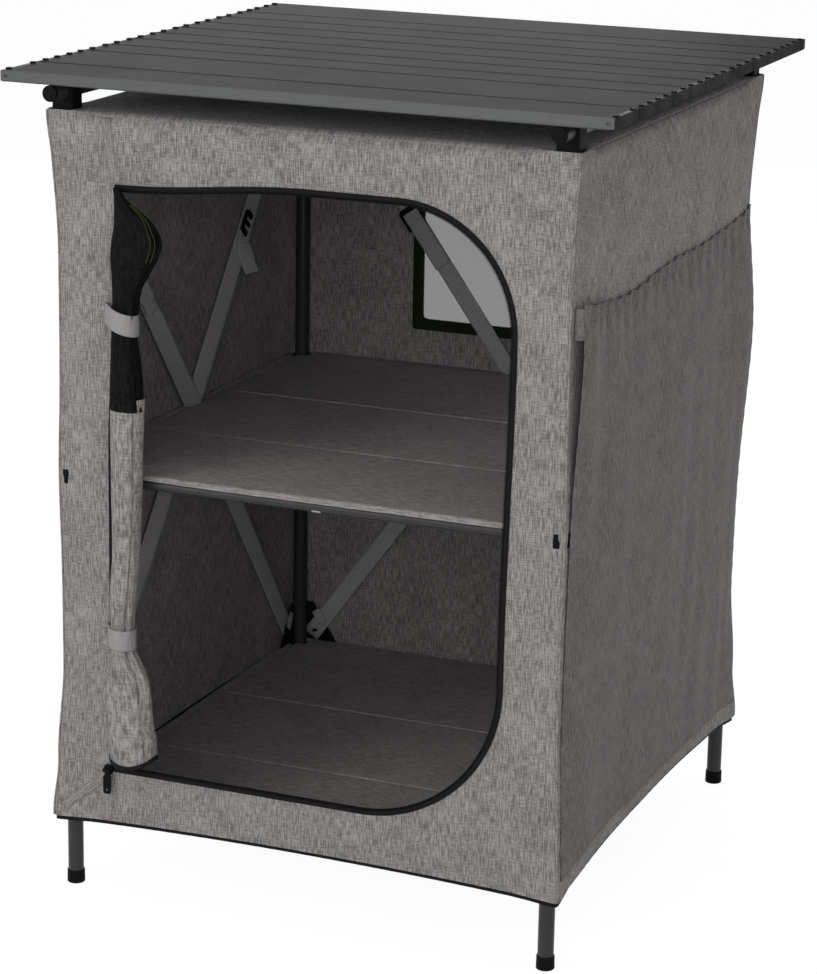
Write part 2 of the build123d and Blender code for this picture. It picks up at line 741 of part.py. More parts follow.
def wall_plane(wall_axis, side, distance):
    """The plane of a side wall's or of the back wall's layer."""
    if wall_axis == "X":
        return Plane.YZ.offset(side * distance)
    return Plane.XZ.offset(-side * distance)


def make_straps():
    """Two crossing bands on each side wall, and two on the back wall."""
    with BuildPart() as side_straps:
        for side in (-1, 1):
            for face, rising in zip(strap_layers(INNER_X), (-1, 1)):
                with BuildSketch(wall_plane("X", side, face)):
                    strap_band(STRAP_REACH_Y, rising)
                extrude(amount=side * STRAP_THICKNESS)
    save(side_straps, "cross_straps_sides")
    with BuildPart() as back_straps:
        for face, rising in zip(strap_layers(INNER_Y), (-1, 1)):
            with BuildSketch(wall_plane("Y", 1, face)):
                strap_band(STRAP_REACH_X, rising)
            extrude(amount=-STRAP_THICKNESS)
    save(back_straps, "cross_straps_back")


def buckle_outline(reach, rising):
    """A ladder lock, with two slots, part of the way down one strap."""
    fall = STRAP_TOP_Z - STRAP_BOTTOM_Z
    share = BUCKLE_DISTANCE / math.hypot(2 * reach, fall)
    lean = math.degrees(math.atan2(2 * reach, fall))
    place = (rising * reach * (1 - 2 * share), STRAP_TOP_Z - fall * share)
    with Locations(Location(place, -rising * lean)):
        Polygon(
            (BUCKLE_WIDTH / 2, BUCKLE_LENGTH / 2 - BUCKLE_CHAMFER),
            (BUCKLE_WIDTH / 2 - BUCKLE_CHAMFER, BUCKLE_LENGTH / 2),
            (BUCKLE_CHAMFER - BUCKLE_WIDTH / 2, BUCKLE_LENGTH / 2),
            (-BUCKLE_WIDTH / 2, BUCKLE_LENGTH / 2 - BUCKLE_CHAMFER),
            (-BUCKLE_WIDTH / 2, BUCKLE_CHAMFER - BUCKLE_LENGTH / 2),
            (BUCKLE_CHAMFER - BUCKLE_WIDTH / 2, -BUCKLE_LENGTH / 2),
            (BUCKLE_WIDTH / 2 - BUCKLE_CHAMFER, -BUCKLE_LENGTH / 2),
            (BUCKLE_WIDTH / 2, BUCKLE_CHAMFER - BUCKLE_LENGTH / 2),
        )
        with Locations((0, -BUCKLE_SLOT), (0, BUCKLE_SLOT)):
            Rectangle(STRAP_WIDTH, BUCKLE_SLOT, mode=Mode.SUBTRACT)


def make_buckles():
    """A ladder lock on the upper run of each strap."""
    with BuildPart() as buckles:
        for side in (-1, 1):
            for face, rising in zip(strap_layers(INNER_X), (-1, 1)):
                with BuildSketch(wall_plane("X", side, face - BUCKLE_GAP)):
                    buckle_outline(STRAP_REACH_Y, rising)
                extrude(amount=-side * BUCKLE_THICKNESS)
        for face, rising in zip(strap_layers(INNER_Y), (-1, 1)):
            with BuildSketch(wall_plane("Y", 1, face - BUCKLE_GAP)):
                buckle_outline(STRAP_REACH_X, rising)
            extrude(amount=BUCKLE_THICKNESS)
    save(buckles, "strap_buckles")


# Shelves


def make_board(top, y_front, y_back, name):
    """A stiff board with a cloth border at each side; both keep clear of the legs."""
    board_half = LEG_X - CLIP_RADIUS - CORNER_CLEARANCE
    border_end = LEG_Y - CLIP_RADIUS - CORNER_CLEARANCE
    front, back = max(y_front, -border_end), min(y_back, border_end)
    border = BOARD_HALF_WIDTH - board_half - PANEL_GAP
    with BuildPart() as board:
        with BuildSketch(Plane.XY.offset(top - BOARD_THICKNESS)):
            with Locations((0, (y_front + y_back) / 2)):
                Rectangle(2 * board_half, y_back - y_front)
            with Locations((0, (front + back) / 2)):
                with GridLocations(2 * BOARD_HALF_WIDTH - border, 0, 2, 1):
                    Rectangle(border, back - front)
        extrude(amount=BOARD_THICKNESS)
        chamfer(board.edges().group_by(Axis.Z)[-1], length=BOARD_EDGE)
    save(board, name)


def make_shelf(top, prefix):
    """A shelf of three boards that fold at two creases."""
    half_gap = CREASE_GAP / 2
    make_board(top, BOARD_FRONT, CREASE_FRONT - half_gap, f"{prefix}_front_board")
    make_board(top, CREASE_FRONT + half_gap, CREASE_BACK - half_gap, f"{prefix}_middle_board")
    make_board(top, CREASE_BACK + half_gap, BOARD_BACK, f"{prefix}_back_board")


# Roll-up top


def slat_edges():
    """Each slat's front and back edge, from the front to the back of the top."""
    depths = [FRONT_SLAT_DEPTH, WIDE_SLAT_DEPTH]
    depths += [NARROW_SLAT_DEPTH] * NARROW_SLATS + [BACK_SLAT_DEPTH]
    edges = []
    y = -TOP_DEPTH / 2
    for depth in depths:
        edges.append((y, y + depth))
        y += depth
    return edges


def slat_span(index, edges):
    """The slat's own faces, inside the joint gaps or behind a bar."""
    first, last = index == 0, index == len(edges) - 1
    front = edges[index][0] + (BAR_THICKNESS + PANEL_GAP if first else SLAT_GAP / 2)
    back = edges[index][1] - (BAR_THICKNESS + PANEL_GAP if last else SLAT_GAP / 2)
    return front, back


def plank_profile(front, back, grow=0.0):
    """A slat's cross-section, or one that is smaller all round."""
    with Locations(((front + back) / 2, TOP_HEIGHT - SLAT_THICKNESS / 2)):
        Rectangle(back - front - 2 * grow, SLAT_THICKNESS - 2 * grow)


def make_slat(index, edges):
    """A hollow extruded plank with a rib down its middle."""
    front, back = slat_span(index, edges)
    middle = (front + back) / 2
    with BuildPart() as slat:
        with BuildSketch(Plane.YZ.offset(-PLANK_HALF)):
            plank_profile(front, back)
        extrude(amount=2 * PLANK_HALF)
        long_edges = slat.edges().filter_by(Axis.X).group_by(Axis.Z)[-1]
        chamfer(long_edges, length=SLAT_EDGE)
        with BuildSketch(Plane.YZ.offset(-PLANK_HALF)):
            plank_profile(front, middle + SLAT_WALL - SLAT_RIB / 2, SLAT_WALL)
            plank_profile(middle - SLAT_WALL + SLAT_RIB / 2, back, SLAT_WALL)
        extrude(amount=2 * PLANK_HALF, mode=Mode.SUBTRACT)
    save(slat, f"slat_{index + 1:02d}")


def knuckle(y, plane, amount, ear=True):
    """Adds a knuckle at a joint line, or cuts the room that its neighbour's needs."""
    with BuildSketch(plane) as outline:
        with Locations((y, PIVOT_Z)):
            if ear:
                RegularPolygon(KNUCKLE_RADIUS, KNUCKLE_SIDES)
            else:
                room = KNUCKLE_RADIUS + KNUCKLE_CLEARANCE
                RegularPolygon(room, KNUCKLE_SIDES, major_radius=False)
    extrude(outline.sketch, amount=amount, mode=Mode.ADD if ear else Mode.SUBTRACT)


def hinge_pin(y, plane, amount, pin=True):
    """Adds the pin of a knuckle, or cuts the bore that the neighbour's pin turns in."""
    with BuildSketch(plane) as outline:
        with Locations((y, PIVOT_Z)):
            if pin:
                RegularPolygon(HINGE_PIN_RADIUS, PIN_SIDES)
            else:
                bore = HINGE_PIN_RADIUS + HINGE_PIN_CLEARANCE
                RegularPolygon(bore, PIN_SIDES, major_radius=False)
    extrude(outline.sketch, amount=amount, mode=Mode.ADD if pin else Mode.SUBTRACT)


def make_slat_caps(index, edges):
    """Both end plugs of a slat, with the knuckles that link it to its neighbours."""
    front, back = slat_span(index, edges)
    middle = (front + back) / 2
    joint_front, joint_back = edges[index]
    layer = (END_CAP_WIDTH - KNUCKLE_SIDE_GAP) / 2
    tabs = [joint_front + TAB_FROM_JOINT, joint_back - TAB_FROM_JOINT]
    if back - front > WIDE_FROM:
        tabs += [middle - TAB_FROM_JOINT, middle + TAB_FROM_JOINT]
    with BuildPart() as caps:
        for side in (-1, 1):
            inner = Plane.YZ.offset(side * PLANK_HALF)
            seam = Plane.YZ.offset(side * (PLANK_HALF + layer))
            outer = Plane.YZ.offset(side * (PLANK_HALF + layer + KNUCKLE_SIDE_GAP))
            with BuildSketch(inner):
                plank_profile(front, back)
            extrude(amount=side * END_CAP_WIDTH)
            if index > 0:
                knuckle(joint_front, inner, side * (layer + KNUCKLE_SIDE_GAP), ear=False)
                knuckle(joint_front, outer, side * layer)
                hinge_pin(joint_front, outer, -side * HINGE_PIN_LENGTH)
            if index < len(edges) - 1:
                knuckle(joint_back, seam, side * (layer + KNUCKLE_SIDE_GAP), ear=False)
                knuckle(joint_back, inner, side * layer)
                hinge_pin(joint_back, seam, -side * HINGE_PIN_LENGTH, pin=False)
            with BuildSketch(Plane.XY.offset(TOP_HEIGHT)):
                with Locations([(side * TAB_X, y) for y in tabs]):
                    Rectangle(TAB_SPAN, TAB_LENGTH)
            extrude(amount=TAB_HEIGHT)
            with BuildSketch(inner):
                grow = SLAT_WALL + TONGUE_CLEARANCE
                plank_profile(front, middle + SLAT_WALL - SLAT_RIB / 2, grow)
                plank_profile(middle - SLAT_WALL + SLAT_RIB / 2, back, grow)
            extrude(amount=-side * END_CAP_TONGUE)
    save(caps, f"slat_caps_{index + 1:02d}")


def make_bar(side, name):
    """The edge bar on the first or the last slat, drilled for a screw at each end."""
    y = side * TOP_DEPTH / 2
    with BuildPart() as bar:
        with BuildSketch(Plane.YZ.offset(-TOP_WIDTH / 2)):
            with Locations((y - side * BAR_THICKNESS / 2, TOP_HEIGHT - BAR_HEIGHT / 2)):
                Rectangle(BAR_THICKNESS, BAR_HEIGHT)
        extrude(amount=TOP_WIDTH)
        chamfer(bar.edges().filter_by(Axis.X), length=BAR_EDGE)
        with BuildSketch(Plane.XZ):
            with Locations((0, TOP_HEIGHT - BAR_HEIGHT / 2)):
                with GridLocations(TOP_WIDTH - 2 * SCREW_INSET, 0, 2, 1):
                    Circle(SCREW_RADIUS)
        extrude(amount=TOP_DEPTH, both=True, mode=Mode.SUBTRACT)
    save(bar, name)


def make_top():
    """Ten slats, their end caps and the two edge bars."""
    edges = slat_edges()
    for index in range(len(edges)):
        make_slat(index, edges)
        make_slat_caps(index, edges)
    make_bar(-1, "top_front_bar")
    make_bar(1, "top_back_bar")
    print("slat joints", [round(edge[1], 3) for edge in edges[:-1]], "pivot", PIVOT_Z)


for side_x, side_name in ((-1, "left"), (1, "right")):
    make_leg(side_x * LEG_X, -LEG_Y, f"leg_front_{side_name}")
    make_leg(side_x * LEG_X, LEG_Y, f"leg_back_{side_name}")
    make_rail(side_x * LEG_X, f"rail_{side_name}")
    make_cover_side(side_x, f"cover_{side_name}")
    make_pocket(side_x, f"pocket_{side_name}")
make_foot_caps()
make_corner_blocks()
make_leg_clips()
make_rail_end_caps()
make_cross_tubes()
make_side_tubes()
make_ferrule()
make_cover_front()
make_cover_back()
make_cover_roof()
make_cover_floor()
make_window()
make_roll(GREY_ROLL, "door_roll")
make_roll(MESH_ROLL, "door_mesh_roll")
make_door_ties()
make_door_zip()
make_zip_slider()
make_zip_puller()
make_straps()
make_buckles()
make_shelf(UPPER_SHELF_TOP, "upper_shelf")
make_shelf(LOWER_SHELF_TOP, "lower_shelf")
make_top()
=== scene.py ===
import json
import math

import bmesh
import bpy
from mathutils import Matrix, Vector, noise


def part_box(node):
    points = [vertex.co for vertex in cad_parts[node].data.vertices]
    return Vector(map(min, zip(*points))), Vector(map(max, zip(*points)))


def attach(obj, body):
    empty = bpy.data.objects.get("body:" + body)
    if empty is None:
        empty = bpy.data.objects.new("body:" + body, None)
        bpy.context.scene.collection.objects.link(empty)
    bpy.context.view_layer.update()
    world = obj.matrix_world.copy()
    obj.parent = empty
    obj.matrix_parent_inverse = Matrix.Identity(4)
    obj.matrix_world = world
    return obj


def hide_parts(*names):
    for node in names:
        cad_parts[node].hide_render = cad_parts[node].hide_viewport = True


# Camping cupboard: cloth cover, rolled door, straps, shelves and finishes on the tube frame.
# Metres. X to the right, Y to the back, Z up.

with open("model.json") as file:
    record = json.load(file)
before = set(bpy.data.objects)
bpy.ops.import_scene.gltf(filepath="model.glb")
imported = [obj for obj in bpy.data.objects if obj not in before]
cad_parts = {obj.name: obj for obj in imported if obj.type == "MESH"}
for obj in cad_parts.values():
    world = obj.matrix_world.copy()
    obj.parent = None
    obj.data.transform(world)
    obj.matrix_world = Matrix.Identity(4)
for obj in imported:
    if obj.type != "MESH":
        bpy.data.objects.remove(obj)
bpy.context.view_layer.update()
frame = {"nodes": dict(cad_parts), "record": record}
NODES = frame["nodes"]
ROOT = "cupboard"

# Sizes read from the frame
FRONT_LOW, FRONT_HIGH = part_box("cover_front")
WALL_X = FRONT_HIGH.x
WALL_Y = -FRONT_LOW.y
PANEL = FRONT_HIGH.y - FRONT_LOW.y
HEM_Z = FRONT_LOW.z
ROOF_Z = FRONT_HIGH.z
TAPE_LOW, TAPE_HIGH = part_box("door_zip")
TAPE_OUTSIDE = 0.005
DOOR = (
    TAPE_LOW.x + TAPE_OUTSIDE,
    TAPE_HIGH.x - TAPE_OUTSIDE,
    TAPE_LOW.z + TAPE_OUTSIDE,
    TAPE_HIGH.z - TAPE_OUTSIDE,
)
DOOR_RADII = (0.0018, 0.145, 0.118, 0.0018)
TAPE_BAND = (-0.0015, 0.0042)
PANE_LOW, PANE_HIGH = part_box("window_mesh")
WINDOW = (PANE_LOW.x, PANE_HIGH.x, PANE_LOW.z, PANE_HIGH.z)
WINDOW_RADII = (0.004,) * 4
LEG_X = (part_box("leg_front_right")[0].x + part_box("leg_front_right")[1].x) / 2
LEG_Y = (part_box("leg_back_right")[0].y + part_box("leg_back_right")[1].y) / 2
POCKET_LOW, POCKET_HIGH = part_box("pocket_right")
STRAP_LOW, STRAP_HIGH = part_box("cross_straps_sides")

# Sizes of the cloth work
CLOTH = 0.0009
FRONT_ARCH = 0.0065
SIDE_ARCH = 0.014
CORNER_ROUND = 0.0055
CORNER_DRAW = 0.0048
CORNER_ROUND_TOP = 0.0045
ROOF_ROUND = 0.014
BLOCK_REACH = 0.012
ROOF_EASE = 0.034
RIPPLE = 0.0011
PUCKER = 0.00028
STITCH_PITCH = 0.0034
STITCH_LENGTH = 0.0024
STITCH_WIDTH = 0.00042

# Camera, fitted to the photograph
CAMERA_PLACE = (1.1733, -2.8949, 1.2566)
CAMERA_AZIMUTH = math.radians(22.208)
CAMERA_HEIGHT = math.radians(15.598)
CAMERA_ROLL = math.radians(1.066)
CAMERA_LENS = 114.02
CAMERA_SENSOR = 36.0


# Small helpers


def smooth(value):
    """Zero below 0, one above 1, and an eased step between."""
    value = min(max(value, 0.0), 1.0)
    return value * value * (3 - 2 * value)


def mix(first, second, share):
    """The value a share of the way from the first to the second."""
    return first + (second - first) * share


def soft_noise(x, y, seed, size):
    """Smooth noise from about -1 to 1 whose bumps are of the given size."""
    return noise.noise(Vector((x / size, y / size, seed)))


def table_value(stops, place):
    """Values on a smooth curve through stops, each a place followed by its values."""
    place = min(max(place, stops[0][0]), stops[-1][0])
    index = next(i for i, upper in enumerate(stops[1:]) if place <= upper[0])
    lower, upper = stops[index], stops[index + 1]
    before, after = stops[max(index - 1, 0)], stops[min(index + 2, len(stops) - 1)]
    width = upper[0] - lower[0]
    share = (place - lower[0]) / width
    values = []
    for a, b, c, d in zip(before[1:], lower[1:], upper[1:], after[1:]):
        leave = (c - a) / (upper[0] - before[0]) * width * (1 - share)
        arrive = (d - b) / (after[0] - lower[0]) * width * share
        values.append(mix(b, c, smooth(share)) + share * (1 - share) * (leave - arrive))
    return values


# Node tools


def socket_value(node, name, value):
    """Sets an input's value, or links an output to it."""
    target = node.inputs[name]
    if isinstance(value, bpy.types.NodeSocket):
        node.id_data.links.new(value, target)
    elif value is not None:
        target.default_value = value


def add_node(tree, kind, settings=None, **values):
    """A node with its settings and its inputs; an input's name may use _ for a space."""
    node = tree.nodes.new(kind)
    for key, value in (settings or {}).items():
        setattr(node, key, value)
    for key, value in values.items():
        socket_value(node, key.replace("_", " "), value)
    return node


def math_node(tree, operation, first, second=None, clamp=False):
    """The output of a Math node on values or sockets."""
    node = tree.nodes.new("ShaderNodeMath")
    node.operation = operation
    node.use_clamp = clamp
    for slot, value in enumerate((first, second)):
        if isinstance(value, bpy.types.NodeSocket):
            tree.links.new(value, node.inputs[slot])
        elif value is not None:
            node.inputs[slot].default_value = value
    return node.outputs[0]


def stretched(tree, vector, scale):
    """A vector scaled along each axis by a Mapping node."""
    return add_node(tree, "ShaderNodeMapping", Vector=vector, Scale=scale).outputs[0]


def noise_value(tree, vector, scale, detail=2.0, roughness=0.5):
    """The factor of a Noise Texture."""
    node = add_node(
        tree,
        "ShaderNodeTexNoise",
        Vector=vector,
        Scale=scale,
        Detail=detail,
        Roughness=roughness,
    )
    return node.outputs["Fac"]


def wave_value(tree, vector, scale, direction, distortion=0.0):
    """The factor of a sine wave along one axis."""
    node = add_node(
        tree,
        "ShaderNodeTexWave",
        {"wave_type": "BANDS", "bands_direction": direction, "wave_profile": "SIN"},
        Vector=vector,
        Scale=scale,
        Distortion=distortion,
    )
    return node.outputs["Fac"]


def ramp_value(tree, factor, low, high, to_low=0.0, to_high=1.0):
    """A value taken from one range to another, and held at its ends."""
    node = tree.nodes.new("ShaderNodeMapRange")
    node.clamp = True
    for slot, value in enumerate((factor, low, high, to_low, to_high)):
        if isinstance(value, bpy.types.NodeSocket):
            tree.links.new(value, node.inputs[slot])
        else:
            node.inputs[slot].default_value = value
    return node.outputs[0]


def mixed_colour(tree, factor, first, second):
    """A colour between two, by a factor."""
    node = tree.nodes.new("ShaderNodeMix")
    node.data_type = "RGBA"
    for slot, value in ((0, factor), (6, first), (7, second)):
        if isinstance(value, bpy.types.NodeSocket):
            tree.links.new(value, node.inputs[slot])
        else:
            node.inputs[slot].default_value = value
    return node.outputs[2]


def new_group(name, inputs, outputs):
    """An empty node group with named inputs and outputs."""
    group = bpy.data.node_groups.new(name, "ShaderNodeTree")
    for label, kind, value in inputs:
        made = group.interface.new_socket(label, in_out="INPUT", socket_type=kind)
        if value is not None:
            made.default_value = value
    for label, kind in outputs:
        group.interface.new_socket(label, in_out="OUTPUT", socket_type=kind)
    return group, group.nodes.new("NodeGroupInput"), group.nodes.new("NodeGroupOutput")


def place_group(tree, group, **values):
    """A group placed in a material, with its own values."""
    node = tree.nodes.new("ShaderNodeGroup")
    node.node_tree = group
    for key, value in values.items():
        socket_value(node, key.replace("_", " "), value)
    return node


FLOAT = "NodeSocketFloat"
COLOUR = "NodeSocketColor"
VECTOR = "NodeSocketVector"


def weave_group():
    """Heather cloth: crossing slubs of light and dark yarn, and the height of its threads."""
    group, given, out = new_group(
        "heather_weave",
        [
            ("Vector", VECTOR, None),
            ("Light", COLOUR, (0.3, 0.3, 0.3, 1)),
            ("Dark", COLOUR, (0.1, 0.1, 0.1, 1)),
            ("Slub", FLOAT, 1.0),
            ("Pitch", FLOAT, 1.0),
        ],
        [("Color", COLOUR), ("Height", FLOAT), ("Roughness", FLOAT)],
    )
    flat = given.outputs["Vector"]
    upright = noise_value(group, stretched(group, flat, (780, 72, 1)), 1.0, 3.0, 0.65)
    across = noise_value(group, stretched(group, flat, (100, 860, 1)), 1.0, 2.5, 0.6)
    fine = noise_value(group, stretched(group, flat, (1400, 1400, 1)), 1.0, 1.0)
    broad = noise_value(group, flat, 22.0, 2.0)
    warp = math_node(group, "MULTIPLY", ramp_value(group, upright, 0.36, 0.64), 0.54)
    weft = math_node(group, "MULTIPLY", ramp_value(group, across, 0.36, 0.66), 0.30)
    yarn = math_node(group, "ADD", warp, weft)
    yarn = math_node(group, "ADD", yarn, math_node(group, "MULTIPLY", fine, 0.16))
    cloud = ramp_value(group, broad, 0.3, 0.7, -0.07, 0.07)
    yarn = math_node(group, "ADD", yarn, cloud)
    middle = math_node(group, "SUBTRACT", yarn, 0.5)
    strength = math_node(group, "MULTIPLY", middle, given.outputs["Slub"])
    factor = math_node(group, "ADD", strength, 0.5, clamp=True)
    colour = mixed_colour(group, factor, given.outputs["Dark"], given.outputs["Light"])
    pitch = add_node(
        group, "ShaderNodeVectorMath", {"operation": "SCALE"}, Scale=given.outputs["Pitch"]
    )
    group.links.new(flat, pitch.inputs[0])
    over = wave_value(group, pitch.outputs[0], 185.0, "X", 0.6)
    under = wave_value(group, pitch.outputs[0], 185.0, "Y", 0.6)
    threads = math_node(group, "MAXIMUM", over, under)
    threads = math_node(group, "MULTIPLY", threads, 0.55)
    height = math_node(group, "ADD", threads, math_node(group, "MULTIPLY", yarn, 0.6))
    rough = ramp_value(group, factor, 0.0, 1.0, 0.92, 0.8)
    group.links.new(colour, out.inputs["Color"])
    group.links.new(height, out.inputs["Height"])
    group.links.new(rough, out.inputs["Roughness"])
    return group


def rib_group():
    """Webbing: cross ribs with a woven edge, on a strap's own flat place, with painted shade in the troughs
    between the ribs.
    """
    group, given, out = new_group(
        "webbing_ribs",
        [
            ("Vector", VECTOR, None),
            ("Light", COLOUR, (0.3, 0.3, 0.3, 1)),
            ("Dark", COLOUR, (0.1, 0.1, 0.1, 1)),
            ("Ribs", FLOAT, 1.0),
        ],
        [("Color", COLOUR), ("Height", FLOAT), ("Roughness", FLOAT)],
    )
    flat = given.outputs["Vector"]
    sized = add_node(
        group, "ShaderNodeVectorMath", {"operation": "SCALE"}, Scale=given.outputs["Ribs"]
    )
    group.links.new(flat, sized.inputs[0])
    ribs = wave_value(group, sized.outputs[0], 96.0, "Y", 0.35)
    yarns = wave_value(group, sized.outputs[0], 340.0, "X", 0.8)
    speck = noise_value(group, stretched(group, flat, (900, 500, 1)), 1.0, 2.0)
    height = math_node(group, "ADD", ribs, math_node(group, "MULTIPLY", yarns, 0.25))
    # Painted shade: the colour is darker in the troughs of the rib wave, with random speckle.
    shade = math_node(group, "MULTIPLY", ribs, 0.7)
    shade = math_node(group, "ADD", shade, math_node(group, "MULTIPLY", speck, 0.35), clamp=True)
    colour = mixed_colour(group, shade, given.outputs["Dark"], given.outputs["Light"])
    group.links.new(colour, out.inputs["Color"])
    group.links.new(height, out.inputs["Height"])
    group.links.new(ramp_value(group, speck, 0, 1, 0.6, 0.85), out.inputs["Roughness"])
    return group


def joint_places():
    """Where the table's slats meet, from front to back."""
    slats = [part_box(name) for name in sorted(NODES) if name[:5] == "slat_" and name[5:].isdigit()]
    return [(front[1].y + back[0].y) / 2 for front, back in zip(slats, slats[1:])]


def joint_shade(tree, place):
    """Painted shade: zero in the rolled edges beside each joint of the slats, and one away from them."""
    depth = add_node(tree, "ShaderNodeSeparateXYZ", Vector=place).outputs["Y"]
    nearest = None
    for joint in joint_places():
        away = math_node(tree, "ABSOLUTE", math_node(tree, "SUBTRACT", depth, joint))
        nearest = away if nearest is None else math_node(tree, "MINIMUM", nearest, away)
    return ramp_value(tree, nearest, 0.0020, 0.0040)


def metal_group():
    """Brushed and anodised metal: fine lines along X, soft blotches and dust, and painted shade beside the
    slats' joints.
    """
    group, given, out = new_group(
        "anodised_brush",
        [
            ("Vector", VECTOR, None),
            ("Base", COLOUR, (0.1, 0.1, 0.1, 1)),
            ("Lines", FLOAT, 1.0),
            ("JointShade", FLOAT, 0.0),
        ],
        [("Color", COLOUR), ("Height", FLOAT), ("Roughness", FLOAT)],
    )
    place = given.outputs["Vector"]
    lines = noise_value(group, stretched(group, place, (9, 1900, 1900)), 1.0, 3.0, 0.6)
    blotch = noise_value(group, place, 14.0, 3.0)
    dust = noise_value(group, place, 420.0, 2.0)
    gain = ramp_value(group, lines, 0.3, 0.7, -0.09, 0.09)
    gain = math_node(group, "MULTIPLY", gain, given.outputs["Lines"])
    gain = math_node(group, "ADD", gain, ramp_value(group, blotch, 0.3, 0.7, 0.985, 1.02))
    gain = math_node(group, "ADD", gain, ramp_value(group, dust, 0.62, 0.8, 0.0, 0.06))
    # Painted shade: the colour darkens beside each joint of the slats, as deep as the joint shade weight
    # asks.
    shade = math_node(group, "SUBTRACT", 1.0, joint_shade(group, place))
    shade = math_node(group, "MULTIPLY", shade, given.outputs["JointShade"])
    gain = math_node(group, "MULTIPLY", gain, math_node(group, "SUBTRACT", 1.0, shade))
    tinted = add_node(group, "ShaderNodeVectorMath", {"operation": "SCALE"}, Scale=gain)
    group.links.new(given.outputs["Base"], tinted.inputs[0])
    group.links.new(tinted.outputs[0], out.inputs["Color"])
    group.links.new(lines, out.inputs["Height"])
    group.links.new(ramp_value(group, blotch, 0.3, 0.7, 0.43, 0.47), out.inputs["Roughness"])
    return group


def grain_group():
    """Moulded or powder-coated surfaces: fine grain, slow colour change and light scuffs."""
    group, given, out = new_group(
        "moulded_grain",
        [
            ("Vector", VECTOR, None),
            ("Base", COLOUR, (0.02, 0.02, 0.02, 1)),
            ("Worn", COLOUR, (0.06, 0.06, 0.06, 1)),
            ("Grain", FLOAT, 1400.0),
            ("Smooth", FLOAT, 0.35),
            ("Matt", FLOAT, 0.6),
        ],
        [("Color", COLOUR), ("Height", FLOAT), ("Roughness", FLOAT)],
    )
    place = given.outputs["Vector"]
    grain = noise_value(group, place, given.outputs["Grain"], 2.0)
    slow = noise_value(group, place, 35.0, 3.0)
    scuff = noise_value(group, stretched(group, place, (90, 90, 700)), 1.0, 3.0, 0.7)
    worn = ramp_value(group, scuff, 0.62, 0.78, 0.0, 0.5)
    worn = math_node(group, "MULTIPLY", worn, slow)
    colour = mixed_colour(group, worn, given.outputs["Base"], given.outputs["Worn"])
    rough = ramp_value(group, slow, 0.3, 0.7, given.outputs["Smooth"], given.outputs["Matt"])
    group.links.new(colour, out.inputs["Color"])
    group.links.new(grain, out.inputs["Height"])
    group.links.new(rough, out.inputs["Roughness"])
    return group


WEAVE = weave_group()
RIBS = rib_group()
METAL = metal_group()
GRAIN = grain_group()


def surfaced(name, group, coordinate, bump, sockets, plain=None):
    """A material whose colour, roughness and bump come from one of the groups."""
    material = bpy.data.materials.new(name)
    material.use_nodes = True
    tree = material.node_tree
    shader = tree.nodes["Principled BSDF"]
    source = tree.nodes.new("ShaderNodeTexCoord").outputs[coordinate]
    effect = place_group(tree, group, Vector=source, **sockets)
    strength, distance = bump
    relief = add_node(
        tree,
        "ShaderNodeBump",
        Height=effect.outputs["Height"],
        Strength=strength,
        Distance=distance,
    )
    tree.links.new(effect.outputs["Color"], shader.inputs["Base Color"])
    tree.links.new(effect.outputs["Roughness"], shader.inputs["Roughness"])
    tree.links.new(relief.outputs[0], shader.inputs["Normal"])
    for key, value in (plain or {}).items():
        shader.inputs[key].default_value = value
    return material


def heather(name, light, dark, slub=1.0, bump=0.35):
    """A heather cloth of two greys."""
    return surfaced(
        name,
        WEAVE,
        "UV",
        (bump, 0.0003),
        {"Light": (*light, 1), "Dark": (*dark, 1), "Slub": slub},
        {"Specular IOR Level": 0.25, "Sheen Weight": 0.06, "Sheen Roughness": 0.5},
    )


COVER_CLOTH = heather("cover_cloth", (0.358, 0.334, 0.327), (0.125, 0.116, 0.113), 1.9)
# Painted shade: the pocket is the cover's cloth, given darker greys for the shade on the side wall.
SHADED_POCKET_CLOTH = heather("pocket_cloth", (0.196, 0.182, 0.178), (0.094, 0.087, 0.085), 2.2)
SHELF_CLOTH = heather("shelf_cloth", (0.365, 0.341, 0.334), (0.165, 0.153, 0.149), 1.7)
TIE_CLOTH = heather("tie_cloth", (0.33, 0.318, 0.315), (0.25, 0.24, 0.238), 0.7, 0.2)
THREAD = heather("sewing_thread", (0.2, 0.19, 0.188), (0.12, 0.115, 0.113), 0.5, 0.1)


def ribbed(name, light, dark, ribs, bump, gloss=0.1):
    """A ribbed tape or webbing of two colours."""
    return surfaced(
        name,
        RIBS,
        "UV",
        bump,
        {"Light": (*light, 1), "Dark": (*dark, 1), "Ribs": ribs},
        {"Specular IOR Level": gloss},
    )


BLACK_TAPE = ribbed("black_tape", (0.010, 0.010, 0.0105), (0.004, 0.004, 0.004), 2.4, (0.3, 0.0003))
OLIVE_PIPING = ribbed("olive_piping", (0.055, 0.06, 0.022), (0.016, 0.018, 0.007), 3.0, (0.3, 0.0002))
BINDING_TAPE = ribbed("window_binding", (0.014, 0.020, 0.011), (0.006, 0.009, 0.005), 1.6, (0.35, 0.0003))
WEBBING = ribbed("webbing", (0.72, 0.705, 0.70), (0.10, 0.097, 0.096), 1.47, (0.8, 0.0006), 0.2)
BLACK_NET = surfaced(
    "black_net",
    WEAVE,
    "UV",
    (0.6, 0.0005),
    {
        "Light": (0.011, 0.0125, 0.011, 1),
        "Dark": (0.0025, 0.003, 0.0025, 1),
        "Slub": 1.4,
        "Pitch": 0.45,
    },
    {"Specular IOR Level": 0.05},
)
WINDOW_NET = surfaced(
    "window_net",
    WEAVE,
    "UV",
    (0.2, 0.0002),
    {"Light": (0.3, 0.3, 0.3, 1), "Dark": (0.2, 0.2, 0.2, 1), "Slub": 0.6},
    {"Alpha": 0.8, "Specular IOR Level": 0.1},
)


